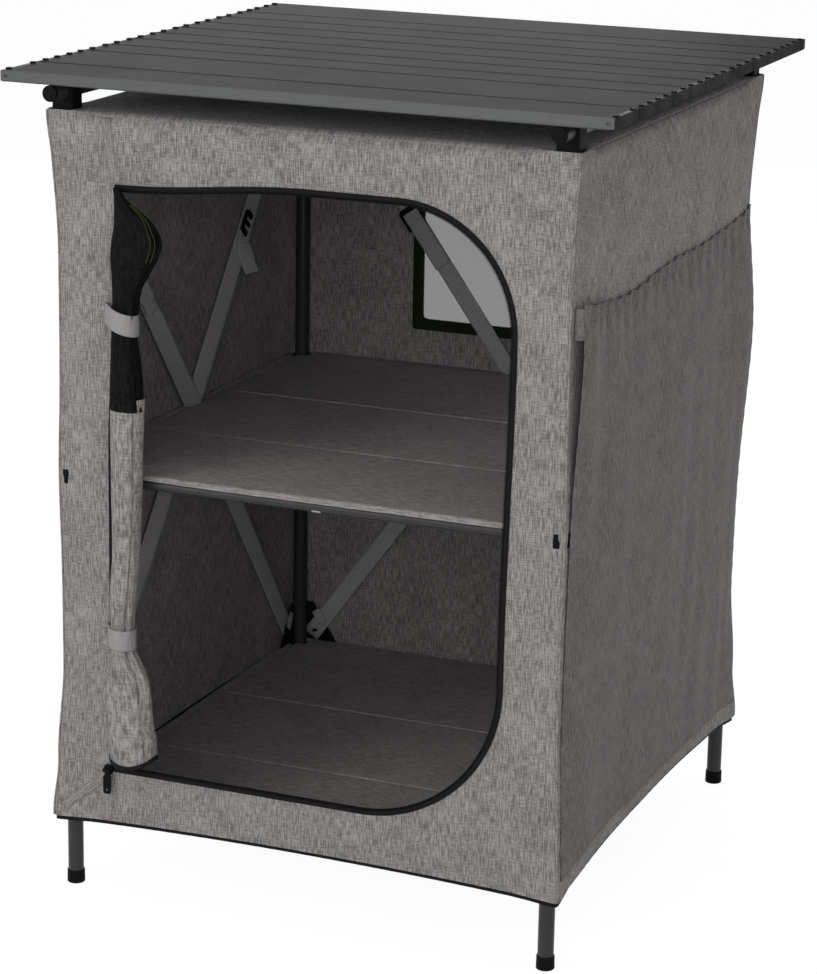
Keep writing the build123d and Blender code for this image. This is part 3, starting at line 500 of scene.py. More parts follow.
def brushed(name, base, lines, rim, joints=0.0):
    """A brushed metal, whose reflection at a low angle is weakened to the rim's share, with painted shade by
    the slats' joints at the given strength.
    """
    return surfaced(
        name,
        METAL,
        "Object",
        (0.08, 0.0001),
        {"Base": (*base, 1), "Lines": lines, "JointShade": joints},
        {"Metallic": 1.0, "Specular Tint": (rim, rim, rim, 1)},
    )


# The slats get painted shade beside their joints, at 0.8 strength.
SLAT_METAL = brushed("slat_metal", (0.072, 0.0705, 0.0715), 1.0, 0.25, 0.8)
BAR_METAL = brushed("bar_metal", (0.082, 0.084, 0.0845), 0.8, 0.4)
BRIGHT_METAL = brushed("bright_metal", (0.7, 0.7, 0.7), 0.3, 1.0)


def moulded(name, base, worn, grain, rough, gloss):
    """A moulded or powder-coated finish."""
    return surfaced(
        name,
        GRAIN,
        "Object",
        (0.22, 0.0002),
        {
            "Base": (*base, 1),
            "Worn": (*worn, 1),
            "Grain": grain,
            "Smooth": rough[0],
            "Matt": rough[1],
        },
        {"Specular IOR Level": gloss},
    )


FRAME_TUBE = moulded(
    "frame_tube", (0.034, 0.034, 0.0355), (0.055, 0.055, 0.057), 1100.0, (0.34, 0.48), 0.2
)
BLACK_PLASTIC = moulded(
    "black_plastic", (0.0075, 0.0075, 0.008), (0.022, 0.022, 0.023), 1400.0, (0.45, 0.62), 0.03
)
NODE_FINISHES = {
    "frame_tube": FRAME_TUBE,
    "black_plastic": BLACK_PLASTIC,
    "cover_cloth": COVER_CLOTH,
    "pocket_cloth": SHADED_POCKET_CLOTH,
    "shelf_cloth": SHELF_CLOTH,
    "black_tape": BLACK_TAPE,
    "black_mesh": BLACK_NET,
    "window_net": WINDOW_NET,
    "webbing": WEBBING,
    "slat_metal": SLAT_METAL,
    "bar_metal": BAR_METAL,
    "bright_metal": BRIGHT_METAL,
}


def finish_nodes():
    """Gives each carried-over node the material of its slot."""
    for part in frame["record"]["subparts"]:
        node = NODES[part["node"]]
        node.data.materials.clear()
        node.data.materials.append(NODE_FINISHES[part["material_slot"]])


# Mesh tools


def woven_grid(columns, rows, flat, place):
    """A grid of cloth: flat gives each knot's spot on the flat cut, place bends it."""
    bm = bmesh.new()
    layer = bm.loops.layers.uv.new("UVMap")
    bmesh.ops.create_grid(bm, x_segments=columns, y_segments=rows, size=0.5)
    spots = {v: flat(v.co.x + 0.5, v.co.y + 0.5) for v in bm.verts}
    for face in bm.faces:
        for loop in face.loops:
            loop[layer].uv = spots[loop.vert]
    for vertex, spot in spots.items():
        vertex.co = place(*spot)
    return bm


def lay_flat(bm, change):
    """Changes every knot's spot on the flat cut."""
    layer = bm.loops.layers.uv.active
    for face in bm.faces:
        for loop in face.loops:
            loop[layer].uv = change(loop[layer].uv)


def close_seams(bm, distance=0.00001):
    """Merges the knots that meet where a grid closes on itself."""
    bmesh.ops.remove_doubles(bm, verts=bm.verts, dist=distance)
    return bm


def turn_outwards(bm, inner):
    """Turns every face over if most of them look towards the inner point."""
    bm.normal_update()
    look = sum(
        face.normal.dot(face.calc_center_median() - inner(face.calc_center_median()))
        * face.calc_area()
        for face in bm.faces
    )
    if look < 0:
        bmesh.ops.reverse_faces(bm, faces=bm.faces)
    return bm


def make_piece(name, bm, material, body, shade_smooth=True):
    """Turns a finished mesh into a piece that rides on a body."""
    mesh = bpy.data.meshes.new(name)
    bm.to_mesh(mesh)
    bm.free()
    mesh.materials.append(material)
    mesh.polygons.foreach_set("use_smooth", [shade_smooth] * len(mesh.polygons))
    piece = bpy.data.objects.new(name, mesh)
    bpy.context.scene.collection.objects.link(piece)
    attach(piece, body)
    return piece


def thicken(piece, thickness, offset=-1.0):
    """Gives a sheet its thickness."""
    modifier = piece.modifiers.new("thickness", "SOLIDIFY")
    modifier.thickness = thickness
    modifier.offset = offset
    return piece


def centre_line(_):
    """The cupboard's own middle, which its outer skins look away from."""
    return Vector((0, 0, 0.44))


def tube_along(points, radius, sides, closed=False):
    """A round tube along points, with its length and girth as its flat place."""
    count = len(points)
    tangents = []
    for index in range(count):
        before = points[index - 1] if index or closed else points[0]
        after = points[(index + 1) % count] if index < count - 1 or closed else points[-1]
        tangents.append((after - before).normalized())
    across = tangents[0].orthogonal().normalized()
    frames = []
    for tangent in tangents:
        across = (across - tangent * across.dot(tangent)).normalized()
        frames.append((across.copy(), tangent.cross(across)))
    runs = [0.0]
    for first, second in zip(points, points[1:]):
        runs.append(runs[-1] + (second - first).length)
    if closed:
        runs.append(runs[-1] + (points[0] - points[-1]).length)
    rows = count if closed else count - 1

    def flat(around, along):
        return around * math.tau * radius, runs[round(along * rows)]

    def place(girth, run):
        index = min(range(len(runs)), key=lambda i: abs(runs[i] - run)) % count
        first, second = frames[index]
        turn = girth / radius
        return points[index] + (first * math.cos(turn) + second * math.sin(turn)) * radius

    bm = close_seams(woven_grid(sides, rows, flat, place), radius / 200)
    if not closed:
        bmesh.ops.holes_fill(bm, edges=bm.edges)
    bmesh.ops.recalc_face_normals(bm, faces=bm.faces)
    return bm


def add_stitches(bm, spots, length=STITCH_LENGTH, width=STITCH_WIDTH):
    """Adds a small sewn stitch at each spot: its place, its run and the cloth's outside."""
    for place, run, outside in spots:
        side = run.cross(outside).normalized()
        turn = Matrix((run.normalized() * length, side * width, outside * width)).transposed()
        matrix = Matrix.Translation(place) @ turn.to_4x4()
        bmesh.ops.create_icosphere(bm, subdivisions=1, radius=0.5, matrix=matrix)


def stitch_line(name, skin, body, count, material=THREAD, length=STITCH_LENGTH):
    """A row of stitches along skin, which gives a place and an outside for a share."""
    bm = bmesh.new()
    spots = []
    for index in range(count):
        share = (index + 0.5) / count
        here, outside = skin(share)
        there, _ = skin(share + 0.25 / count)
        if (there - here).length > 1e-7:
            spots.append((here + outside * STITCH_WIDTH * 0.3, there - here, outside))
    add_stitches(bm, spots, length)
    return make_piece(name, bm, material, body)


def spun(profile, steps, place, axis):
    """A turned part: a profile of radius and height, spun about an axis through place."""
    bm = bmesh.new()
    turn = Vector((0, 0, 1)).rotation_difference(Vector(axis)).to_matrix()
    verts = [bm.verts.new(Vector((radius, 0, height))) for radius, height in profile]
    edges = [bm.edges.new(pair) for pair in zip(verts, verts[1:])]
    bmesh.ops.spin(
        bm,
        geom=verts + edges,
        cent=(0, 0, 0),
        axis=(0, 0, 1),
        angle=math.tau,
        steps=steps,
        use_merge=True,
    )
    bmesh.ops.remove_doubles(bm, verts=bm.verts, dist=1e-6)
    bmesh.ops.recalc_face_normals(bm, faces=bm.faces)
    bmesh.ops.transform(bm, matrix=Matrix.Translation(place) @ turn.to_4x4(), verts=bm.verts)
    return bm


def joined(meshes):
    """Several meshes as one."""
    whole = bmesh.new()
    for bm in meshes:
        part = bpy.data.meshes.new("part")
        bm.to_mesh(part)
        bm.free()
        whole.from_mesh(part)
        bpy.data.meshes.remove(part)
    return whole


# The cover's skin: four walls that share rounded corners and a rounded roof edge


FRONT, RIGHT, BACK, LEFT = range(4)
WALL_ALONG = [Vector((1, 0)), Vector((0, 1)), Vector((-1, 0)), Vector((0, -1))]
WALL_OUT = [Vector((0, -1)), Vector((1, 0)), Vector((0, 1)), Vector((-1, 0))]
WALL_HALF = [WALL_X, WALL_Y, WALL_X, WALL_Y]
WALL_DISTANCE = [WALL_Y, WALL_X, WALL_Y, WALL_X]
WALL_ARCH = [FRONT_ARCH, SIDE_ARCH, FRONT_ARCH, SIDE_ARCH]
LEG_ALONG = [LEG_X, LEG_Y, LEG_X, LEG_Y]


def corner_round(v):
    """The vertical corners' radius, smaller where the cloth is drawn over the blocks."""
    top = smooth((v - 0.70) / 0.06)
    hem = smooth((0.13 - v) / 0.04)
    return mix(CORNER_ROUND, CORNER_ROUND_TOP, max(top, 0.5 * hem))


def roof_round(wall, s):
    """The roof edge's radius along a wall: none beside the corner blocks."""
    end = LEG_ALONG[wall] - BLOCK_REACH
    return ROOF_ROUND * smooth((end - abs(s)) / ROOF_EASE)


def wall_ripple(wall, s, v):
    """How far a wall's cloth stands off its flat place, gently waved and puckered."""
    half = WALL_HALF[wall]
    edge = min(half - abs(s), ROOF_Z - v)
    calm = smooth(edge / 0.03) * smooth((v - HEM_Z + 0.03) / 0.06)
    broad = soft_noise(s, v * 0.55, 3.1 + wall, 0.13) + 0.4 * soft_noise(s, v * 0.6, 7.7 + wall, 0.05)
    lift = RIPPLE * broad * calm
    seam = math.exp(-(((half - abs(s)) / 0.018) ** 2)) * smooth((half - abs(s)) / 0.006)
    lift += PUCKER * seam * math.sin(v * math.tau / 0.021 + 2 * soft_noise(s, v, wall, 0.06))
    hem = math.exp(-(((v - HEM_Z) / 0.014) ** 2))
    lift += PUCKER * hem * calm * math.sin(s * math.tau / 0.019 + 2 * soft_noise(v, s, wall, 0.07))
    if wall in (RIGHT, LEFT):
        lift += 0.0016 * calm * soft_noise(s, v * 0.25, 21.3 + wall, 0.085)
    if wall == FRONT:
        near = smooth(1 - door_distance(s, v) / 0.03)
        lift *= 1 - 0.75 * near
    return lift


def door_distance(u, v):
    """Distance from a point of the front wall to the door opening's box."""
    left, right, bottom, top = DOOR
    across = max(left - u, 0.0, u - right)
    up = max(bottom - v, 0.0, v - top)
    return math.hypot(across, up)


def settle(point):
    """Lets the four corners flare over the blocks and at the hem, and draw in between."""
    # At the shelf collars' height the draw is too strong: the collars show through the corners.
    corner = smooth((abs(point.x) - WALL_X + 0.05) / 0.05) * smooth((abs(point.y) - WALL_Y + 0.05) / 0.05)
    z = point.z
    flare = 0.0022 * smooth((z - 0.755) / 0.045) + 0.004 * smooth((0.135 - z) / 0.055)
    drawn = smooth((z - 0.14) / 0.10) * smooth((0.80 - z) / 0.14)
    drawn *= 1 - 0.35 * math.exp(-(((z - 0.437) / 0.07) ** 2))
    push = corner * (flare - CORNER_DRAW * drawn)
    point.x += math.copysign(1.0, point.x) * push
    point.y += math.copysign(1.0, point.y) * push
    return point


def wall_skin(wall, s, v, lift=0.0):
    """The cover's outer face and its outside at s along a wall and v up it."""
    half, distance = WALL_HALF[wall], WALL_DISTANCE[wall]
    radius, roof = corner_round(v), roof_round(wall, s)
    sweep = max(abs(s) - (half - radius), 0.0) / radius * math.pi / 4
    lean = max(v - (ROOF_Z - roof), 0.0) / roof * math.pi / 4 if roof > 1e-5 else 0.0
    along = math.copysign(half - radius + radius * math.sin(sweep), s) if sweep else s
    out = distance - radius * (1 - math.cos(sweep)) - roof * (1 - math.cos(lean))
    up = ROOF_Z - roof + roof * math.sin(lean) if lean else v
    hem = max(0.0, 1 - (v - HEM_Z) / 0.06)
    up += WALL_ARCH[wall] * (1 - (s / half) ** 2) * hem
    level = math.cos(lean)
    side = math.copysign(math.sin(sweep), s) * level
    raised = lift + wall_ripple(wall, s, v)
    along += side * raised
    out += math.cos(sweep) * level * raised
    up += math.sin(lean) * raised
    plan = WALL_ALONG[wall] * along + WALL_OUT[wall] * out
    look = WALL_ALONG[wall] * side + WALL_OUT[wall] * math.cos(sweep) * level
    outside = Vector((look.x, look.y, math.sin(lean)))
    return settle(Vector((plan.x, plan.y, up))), outside


def wall_point(wall, s, v, lift=0.0):
    """Only the place of wall_skin."""
    return wall_skin(wall, s, v, lift)[0]


def door_pull(spot):
    """A place by the door as the cloth is pulled: upper left corner down, lower right side in."""
    left = smooth(-spot.x / 0.2) * smooth((spot.y - 0.45) / 0.28)
    right = smooth(spot.x / 0.15) * smooth((0.62 - spot.y) / 0.3)
    return Vector((spot.x + 0.0085 * left - 0.005 * right, spot.y - 0.012 * left))


def door_outline(margin, share):
    """A point of the door opening's edge, moved outwards by a margin."""
    share = share % 4
    return door_pull(loop_point(grown(DOOR, margin), grown_radii(DOOR_RADII, margin), share))


def loop_point(box, radii, share):
    """A point of a rounded rectangle; each whole share starts halfway round a corner."""
    side = int(share) % 4
    way = share - int(share)
    u0, u1, v0, v1 = box
    corners = [Vector((u0, v0)), Vector((u1, v0)), Vector((u1, v1)), Vector((u0, v1))]
    start, end = corners[side], corners[(side + 1) % 4]
    first, last = radii[side], radii[(side + 1) % 4]
    along = (end - start).normalized()
    inward = Vector((-along.y, along.x))
    straight = (end - start).length - first - last
    run = way * ((first + last) * math.pi / 4 + straight)
    if run < first * math.pi / 4:
        angle = math.pi / 4 - run / first
        return start + along * first * (1 - math.sin(angle)) + inward * first * (1 - math.cos(angle))
    run -= first * math.pi / 4
    if run <= straight:
        return start + along * (first + run)
    angle = (run - straight) / last
    return end - along * last * (1 - math.sin(angle)) + inward * last * (1 - math.cos(angle))


def grown(box, margin):
    """A box grown by a margin."""
    u0, u1, v0, v1 = box
    return (u0 - margin, u1 + margin, v0 - margin, v1 + margin)


def grown_radii(radii, margin):
    """Corner radii grown by a margin, apart from the small ones of square sewn corners."""
    return tuple(radius if radius < 0.005 else radius + margin for radius in radii)


def framed_wall(name, node, wall, edge, columns, rows):
    """A wall of cloth round an opening, from the opening's edge out to its corners."""
    rim = (-WALL_HALF[wall], WALL_HALF[wall], HEM_Z, ROOF_Z)

    def flat(around, outwards):
        share = min(around * 4, 3.999999) if around < 1 else 0.0
        inner = edge(share)
        outer = loop_point(rim, (0.0,) * 4, share)
        return tuple(inner.lerp(outer, 1 - (1 - outwards) ** 1.7))

    bm = woven_grid(columns, rows, flat, lambda s, v: wall_point(wall, s, v))
    turn_outwards(close_seams(bm), centre_line)
    piece = make_piece(name, bm, COVER_CLOTH, ROOT)
    thicken(piece, CLOTH)
    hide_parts(node)
    return piece


def even_edges(count, dense):
    """Shares from 0 to 1 that lie closer together at both ends."""
    return [
        mix(i / count, (1 - math.cos(math.pi * i / count)) / 2, dense) for i in range(count + 1)
    ]


def side_wall(name, node, wall):
    """A side wall of cloth."""
    columns, rows = 96, 110
    across, upwards = even_edges(columns, 0.8), even_edges(rows, 0.7)
    half = WALL_HALF[wall]

    def flat(i, j):
        s = mix(-half, half, across[round(i * columns)])
        return s, mix(HEM_Z, ROOF_Z, upwards[round(j * rows)])

    bm = woven_grid(columns, rows, flat, lambda s, v: wall_point(wall, s, v))
    turn_outwards(bm, centre_line)
    piece = thicken(make_piece(name, bm, COVER_CLOTH, ROOT), CLOTH)
    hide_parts(node)
    return piece


def notched_stops(half, notch, steps):
    """Places across a sheet, with a stop at each side of both notches."""
    inner = [mix(-notch, notch, share) for share in even_edges(steps, 0.6)]
    edge = [mix(notch, half, share) for share in even_edges(8, 0.0)][1:]
    return [-place for place in reversed(edge)] + inner + edge


def notched_sheet(stops_x, stops_y, place, turned=False):
    """A sheet whose four corners are cut away round the uprights; turned lays its weave along X."""
    columns, rows = len(stops_x) - 1, len(stops_y) - 1
    notch_x, notch_y = LEG_X - BLOCK_REACH, LEG_Y - BLOCK_REACH

    def flat(i, j):
        return stops_x[round(i * columns)], stops_y[round(j * rows)]

    bm = woven_grid(columns, rows, flat, lambda x, y: Vector((x, y, 0)))
    cut = [
        face
        for face in bm.faces
        if abs(face.calc_center_median().x) > notch_x and abs(face.calc_center_median().y) > notch_y
    ]
    bmesh.ops.delete(bm, geom=cut, context="FACES")
    for vertex in bm.verts:
        vertex.co = place(vertex.co.x, vertex.co.y)
    if turned:
        lay_flat(bm, lambda spot: spot.yx)
    return bm


def cover_roof():
    """The roof's cloth, which rolls over into the walls and sags a little."""
    stops_x = notched_stops(WALL_X, LEG_X - BLOCK_REACH, 60)
    stops_y = notched_stops(WALL_Y, LEG_Y - BLOCK_REACH, 60)

    def over(distance, radius):
        """How far in and how far down the rolled edge is, at a distance from the side."""
        if radius < 1e-5 or distance >= radius:
            return 0.0, 0.0
        turn = math.pi / 4 * (1 + distance / radius)
        return radius * (1 - math.cos(turn)) - distance, radius * (1 - math.sin(turn))

    def place(x, y):
        in_x, down_x = over(WALL_X - abs(x), roof_round(RIGHT, y))
        in_y, down_y = over(WALL_Y - abs(y), roof_round(FRONT, x))
        inside = smooth((WALL_X - abs(x)) / 0.08) * smooth((WALL_Y - abs(y)) / 0.08)
        sag = 0.0035 * inside + 0.001 * inside * soft_noise(x, y, 5.5, 0.09)
        down = ROOF_Z - down_x - down_y - sag
        return settle(Vector((x - math.copysign(in_x, x), y - math.copysign(in_y, y), down)))

    bm = turn_outwards(notched_sheet(stops_x, stops_y, place), centre_line)
    piece = thicken(make_piece("roof_cloth", bm, COVER_CLOTH, ROOT), CLOTH)
    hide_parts("cover_roof")


def cover_floor():
    """The floor's cloth on the lower tubes, lying flat with a slight wave."""
    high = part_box("cover_floor")[1]
    stops_x = notched_stops(high.x, LEG_X - BLOCK_REACH, 44)
    stops_y = notched_stops(high.y, LEG_Y - BLOCK_REACH, 44)

    def place(x, y):
        wave = 0.0003 * soft_noise(x, y, 2.2, 0.05)
        return Vector((x, y, high.z - 0.0004 + wave))

    bm = turn_outwards(notched_sheet(stops_x, stops_y, place), lambda _: Vector((0, 0, -1)))
    piece = thicken(make_piece("floor_cloth", bm, COVER_CLOTH, ROOT), CLOTH)
    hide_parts("cover_floor")


def round_walls(share):
    """The wall and the place along it at a share of the way round all four."""
    turn = share * 4 % 4
    wall = int(turn)
    return wall, mix(-WALL_HALF[wall], WALL_HALF[wall], turn - wall)


def hem_lining():
    """The black lining that shows below the hem, all the way round."""
    length = 4 * (WALL_X + WALL_Y)

    def flat(around, down):
        return around * length, down * 0.014

    def place(run, down):
        wall, s = round_walls(run / length)
        return wall_point(wall, s, HEM_Z + 0.0095 - down, -0.0016)

    bm = turn_outwards(close_seams(woven_grid(400, 4, flat, place)), centre_line)
    piece = thicken(make_piece("hem_lining", bm, BLACK_TAPE, ROOT), 0.0008)


def hem_stitches():
    """Two rows of stitches above the hem, all the way round."""
    length = 4 * (WALL_X + WALL_Y)
    for number, height in ((1, 0.0045), (2, 0.0135)):

        def skin(share, height=height):
            wall, s = round_walls(share)
            return wall_skin(wall, s, HEM_Z + height)

        stitch_line(f"hem_stitches_{number}", skin, ROOT, int(length / STITCH_PITCH))


def corner_seams():
    """A narrow piped fold down each vertical corner, with stitches beside it."""
    corners = ((FRONT, "front_right"), (RIGHT, "back_right"), (BACK, "back_left"), (LEFT, "front_left"))
    for wall, label in corners:
        half = WALL_HALF[wall]
        steps = 120
        points = [
            wall_point(wall, half, mix(HEM_Z + 0.001, ROOF_Z - 0.001, i / steps), 0.0006)
            for i in range(steps + 1)
        ]
        bm = tube_along(points, 0.0011, 8)
        make_piece(f"corner_piping_{label}", bm, COVER_CLOTH, ROOT)
        rows = int((ROOF_Z - HEM_Z) / STITCH_PITCH)

        def skin(share, wall=wall, half=half):
            return wall_skin(wall, half - 0.0125, mix(HEM_Z + 0.004, ROOF_Z - 0.004, share))

        stitch_line(f"corner_stitches_{label}", skin, ROOT, rows)


def seam_strip(name, wall, start, end, width, rows=24):
    """A folded seam allowance that stands a little off the wall, from start to end."""
    start, end = Vector(start), Vector(end)
    length = (end - start).length
    along = (end - start).normalized()
    across = Vector((-along.y, along.x))

    def flat(i, j):
        return (i - 0.5) * width, j * length

    def place(side, run):
        spot = start + along * run + across * side
        crown = 1 - (2 * side / width) ** 2
        return wall_point(wall, spot.x, spot.y, 0.0002 + 0.0007 * crown)

    bm = turn_outwards(woven_grid(6, rows, flat, place), centre_line)
    piece = thicken(make_piece(name, bm, COVER_CLOTH, ROOT), 0.0004)

    def skin(share):
        spot = start + along * (share * length) - across * (width / 2 + 0.0016)
        return wall_skin(wall, spot.x, spot.y)

    stitch_line(name + "_stitches", skin, ROOT, int(length / STITCH_PITCH))


SEAM_WIDTH = 0.0102


def front_seams():
    """The seams above and below the door's left edge, and the one to the lower corner."""
    left, _, bottom, top = DOOR
    lower_corner = (-WALL_X + 0.012, HEM_Z + 0.012)
    for name, start, end in (
        ("seam_above_door", (left - 0.006, ROOF_Z - 0.002), (left + 0.006, top - 0.007)),
        ("seam_below_door", (left - 0.006, bottom - 0.007), (left - 0.008, HEM_Z + 0.001)),
        ("seam_to_corner", (left - 0.010, bottom - 0.009), lower_corner),
    ):
        seam_strip(name, FRONT, start, end, SEAM_WIDTH)


# Door edge


def door_band(name, inner, outer, lift, thickness, material, columns=420, rows=3):
    """A flat band that follows the door opening, from one margin to another."""

    def flat(around, across):
        return around * 4, across

    def place(turn, across):
        spot = door_outline(mix(inner, outer, across), turn)
        return wall_point(FRONT, spot.x, spot.y, lift)

    bm = woven_grid(columns, rows, flat, place)
    length = 2 * (DOOR[1] - DOOR[0] + DOOR[3] - DOOR[2]) - 1.72 * DOOR_RADII[1]
    lay_flat(bm, lambda spot: (spot.y * (outer - inner), spot.x / 4 * length))
    turn_outwards(close_seams(bm), centre_line)
    piece = make_piece(name, bm, material, ROOT)
    return thicken(piece, thickness), length


def door_edge():
    """The zip's tape round the opening, its teeth and its sewing."""
    tape, length = door_band("door_zip_tape", *TAPE_BAND, 0.0010, 0.0006, BLACK_TAPE)
    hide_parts("door_zip")
    lining, length = door_band("door_lining", -0.0022, 0.012, -0.0014, 0.0006, BLACK_TAPE)

    def on_tape(share, margin, lift):
        spot = door_outline(margin, share * 4)
        return wall_skin(FRONT, spot.x, spot.y, lift)

    teeth = bmesh.new()
    count = int(length / 0.0015)
    for index in range(count):
        share = index / count
        here, outside = on_tape(share, -0.0016, 0.0013)
        there, _ = on_tape(share + 0.3 / count, -0.0016, 0.0013)
        run = (there - here).normalized()
        side = run.cross(outside)
        turn = Matrix((run * 0.0008, side * 0.0022, outside * 0.0011)).transposed()
        bmesh.ops.create_cube(teeth, size=1.0, matrix=Matrix.Translation(here) @ turn.to_4x4())
    make_piece("door_zip_teeth", teeth, BLACK_PLASTIC, ROOT, False)
    stitch_line(
        "door_tape_stitches",
        lambda share: on_tape(share, 0.0032, 0.0010),
        ROOT,
        int(length / STITCH_PITCH),
        BLACK_TAPE,
    )
    stitch_line(
        "door_edge_stitches",
        lambda share: on_tape(share, 0.0078, 0.0),
        ROOT,
        int(length / STITCH_PITCH),
    )


# Side pockets


POCKET_EDGE = [
    (-0.284, 0.660),
    (-0.180, 0.647),
    (-0.108, 0.645),
    (-0.047, 0.650),
    (0.018, 0.653),
    (0.088, 0.652),
    (0.179, 0.655),
    (0.284, 0.663),
]
POCKET_SWELL = [
    (0.096, 0.0015),
    (0.300, 0.0060),
    (0.400, 0.0080),
    (0.500, 0.0090),
    (0.600, 0.0052),
    (0.645, 0.0024),
    (0.670, 0.0020),
]
PLEAT_PITCH = 0.029


def pocket_top(side_s):
    """The height of the pocket's top edge, from front to back."""
    return table_value(POCKET_EDGE, side_s)[0] - 0.0008 * math.cos(side_s * math.tau / PLEAT_PITCH)


def pocket_bulge(side, side_s, v):
    """How far the pocket's cloth stands off the wall; side_s runs from front to back."""
    half = POCKET_HIGH.y
    bow = 1 - (side_s / half) ** 2
    swell = table_value(POCKET_SWELL, v)[0] * (0.3 + 0.7 * bow**0.6)
    gape = 0.0105 * smooth((v - 0.43) / 0.20) * math.exp(-(((half + side_s) / 0.05) ** 2))
    slack = 0.009 * math.exp(-(((half - side_s) / 0.06) ** 2)) * math.exp(-(((v - 0.54) / 0.09) ** 2))
    if side < 0:
        swell *= mix(0.25, 1.0, smooth((half + side_s) / 0.25))
        gape *= 0.22
    return swell + gape + slack


def pocket_gathers(side_s, v):
    """The pleats that the elastic draws at the top edge, and the long soft creases below."""
    half = POCKET_HIGH.y
    inside = smooth((half - abs(side_s)) / 0.03)
    wander = 0.010 * soft_noise(side_s, v * 0.4, 9.1, 0.09)
    phase = (side_s + wander) * math.tau / PLEAT_PITCH + 1.4 * soft_noise(side_s, 0.0, 4.4, 0.12)
    sharp = math.sin(phase) + 0.35 * math.sin(2 * phase + 0.8)
    down = max(pocket_top(side_s) - v, 0.0)
    pleats = (0.0013 * math.exp(-((down / 0.022) ** 2)) + 0.0006 * math.exp(-((down / 0.06) ** 2))) * sharp
    creases = 0.0017 * soft_noise(side_s, v * 0.22, 6.3, 0.034) * smooth(down / 0.03)
    broad = 0.0016 * soft_noise(side_s, v * 0.35, 8.8, 0.10)
    return inside * (pleats + creases + broad)


def pocket_spot(side, y, v, lift=0.0):
    """A place on the pocket: y from front to back, v up, lift off its cloth."""
    wall = RIGHT if side > 0 else LEFT
    s = y if side > 0 else -y
    off = max(pocket_bulge(side, y, v) + pocket_gathers(y, v), 0.0012)
    return wall_skin(wall, s, v, off + lift)


def side_pocket(side, label):
    """A side pocket with an elastic top edge, and the tab at its front corner."""
    half = POCKET_HIGH.y
    columns, rows = 190, 110
    upwards = even_edges(rows, 0.75)

    def flat(i, j):
        y = mix(-half, half, i)
        return y, mix(POCKET_LOW.z, pocket_top(y), upwards[round(j * rows)])

    bm = woven_grid(columns, rows, flat, lambda y, v: pocket_spot(side, y, v)[0])
    turn_outwards(bm, centre_line)
    piece = thicken(make_piece(f"pocket_{label}_cloth", bm, SHADED_POCKET_CLOTH, ROOT), 0.0009)
    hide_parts(f"pocket_{label}")
    points = []
    for index in range(181):
        y = mix(-half, half, index / 180)
        points.append(pocket_spot(side, y, pocket_top(y), -0.0004)[0])
    bm = tube_along(points, 0.0013, 8)
    make_piece(f"pocket_{label}_elastic", bm, SHADED_POCKET_CLOTH, ROOT)

    def hem_row(share):
        y = mix(-half, half, share)
        return pocket_spot(side, y, pocket_top(y) - 0.011)

    stitch_line(
        f"pocket_{label}_stitches", hem_row, ROOT, int(2 * half / STITCH_PITCH)
    )

    def foot_row(share):
        return pocket_spot(side, mix(-half, half, share), POCKET_LOW.z + 0.003)

    stitch_line(
        f"pocket_{label}_foot_stitches", foot_row, ROOT, int(2 * half / STITCH_PITCH)
    )
    wall = RIGHT if side > 0 else LEFT
    tab_bottom, tab_top = pocket_top(-half) - 0.032, pocket_top(-half) - 0.002

    grip = 0.0015 if side > 0 else 0.0048

    def tab_ends(v):
        wall_end = wall_point(wall, side * (-half - grip + 0.0005), v, 0.0006)
        return wall_end, pocket_spot(side, -half + grip, v, 0.0008)[0]

    near, far = tab_ends((tab_bottom + tab_top) / 2)
    tab_width = max((far - near).length, 0.01)

    def tab_flat(i, j):
        return i * tab_width, j * (tab_top - tab_bottom)

    def tab_place(across, up):
        share = across / tab_width
        wall_end, pocket_end = tab_ends(tab_bottom + up)
        spot = wall_end.lerp(pocket_end, share)
        bow = 0.0012 * math.sin(math.pi * share)
        return spot + Vector((0, -bow, 0))

    bm = turn_outwards(woven_grid(10, 14, tab_flat, tab_place), centre_line)
    tab = thicken(make_piece(f"pocket_{label}_tab", bm, SHADED_POCKET_CLOTH, ROOT), 0.0009)


# Rolled door


ROLL_Y = (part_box("door_roll")[0].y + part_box("door_roll")[1].y) / 2
GREY_RINGS = [
    (0.019, -0.1790, 0.0268, 0.0120),
    (0.060, -0.1800, 0.0268, 0.0128),
    (0.105, -0.1822, 0.0252, 0.0130),
    (0.145, -0.1832, 0.0250, 0.0130),
    (0.172, -0.1845, 0.0228, 0.0128),
    (0.195, -0.1872, 0.0178, 0.0122),
    (0.216, -0.1895, 0.0128, 0.0112),
    (0.2375, -0.1903, 0.0110, 0.0105),
    (0.262, -0.1903, 0.0120, 0.0110),
    (0.310, -0.1890, 0.0140, 0.0115),
    (0.400, -0.1855, 0.0150, 0.0115),
    (0.550, -0.1840, 0.0168, 0.0120),
    (0.645, -0.1830, 0.0178, 0.0124),
]
NET_RINGS = [
    (0.625, -0.1830, 0.0182, 0.0130),
    (0.698, -0.1845, 0.0155, 0.0126),
    (0.742, -0.1866, 0.0120, 0.0110),
    (0.786, -0.1855, 0.0122, 0.0110),
    (0.822, -0.1832, 0.0148, 0.0120),
    (0.850, -0.1787, 0.0200, 0.0130),
    (0.880, -0.1737, 0.0258, 0.0139),
    (0.905, -0.1712, 0.0264, 0.0139),
    (0.930, -0.1742, 0.0208, 0.0125),
    (0.948, -0.1802, 0.0134, 0.0100),
    (0.965, -0.1880, 0.0062, 0.0060),
    (0.985, -0.1930, 0.0030, 0.0040),
]
TIE_SHARES = (0.771, 0.2375)
TIE_TALL = 0.021


def door_z(share):
    """The height at a share of the door opening's own height."""
    return mix(DOOR[2], DOOR[3], share)


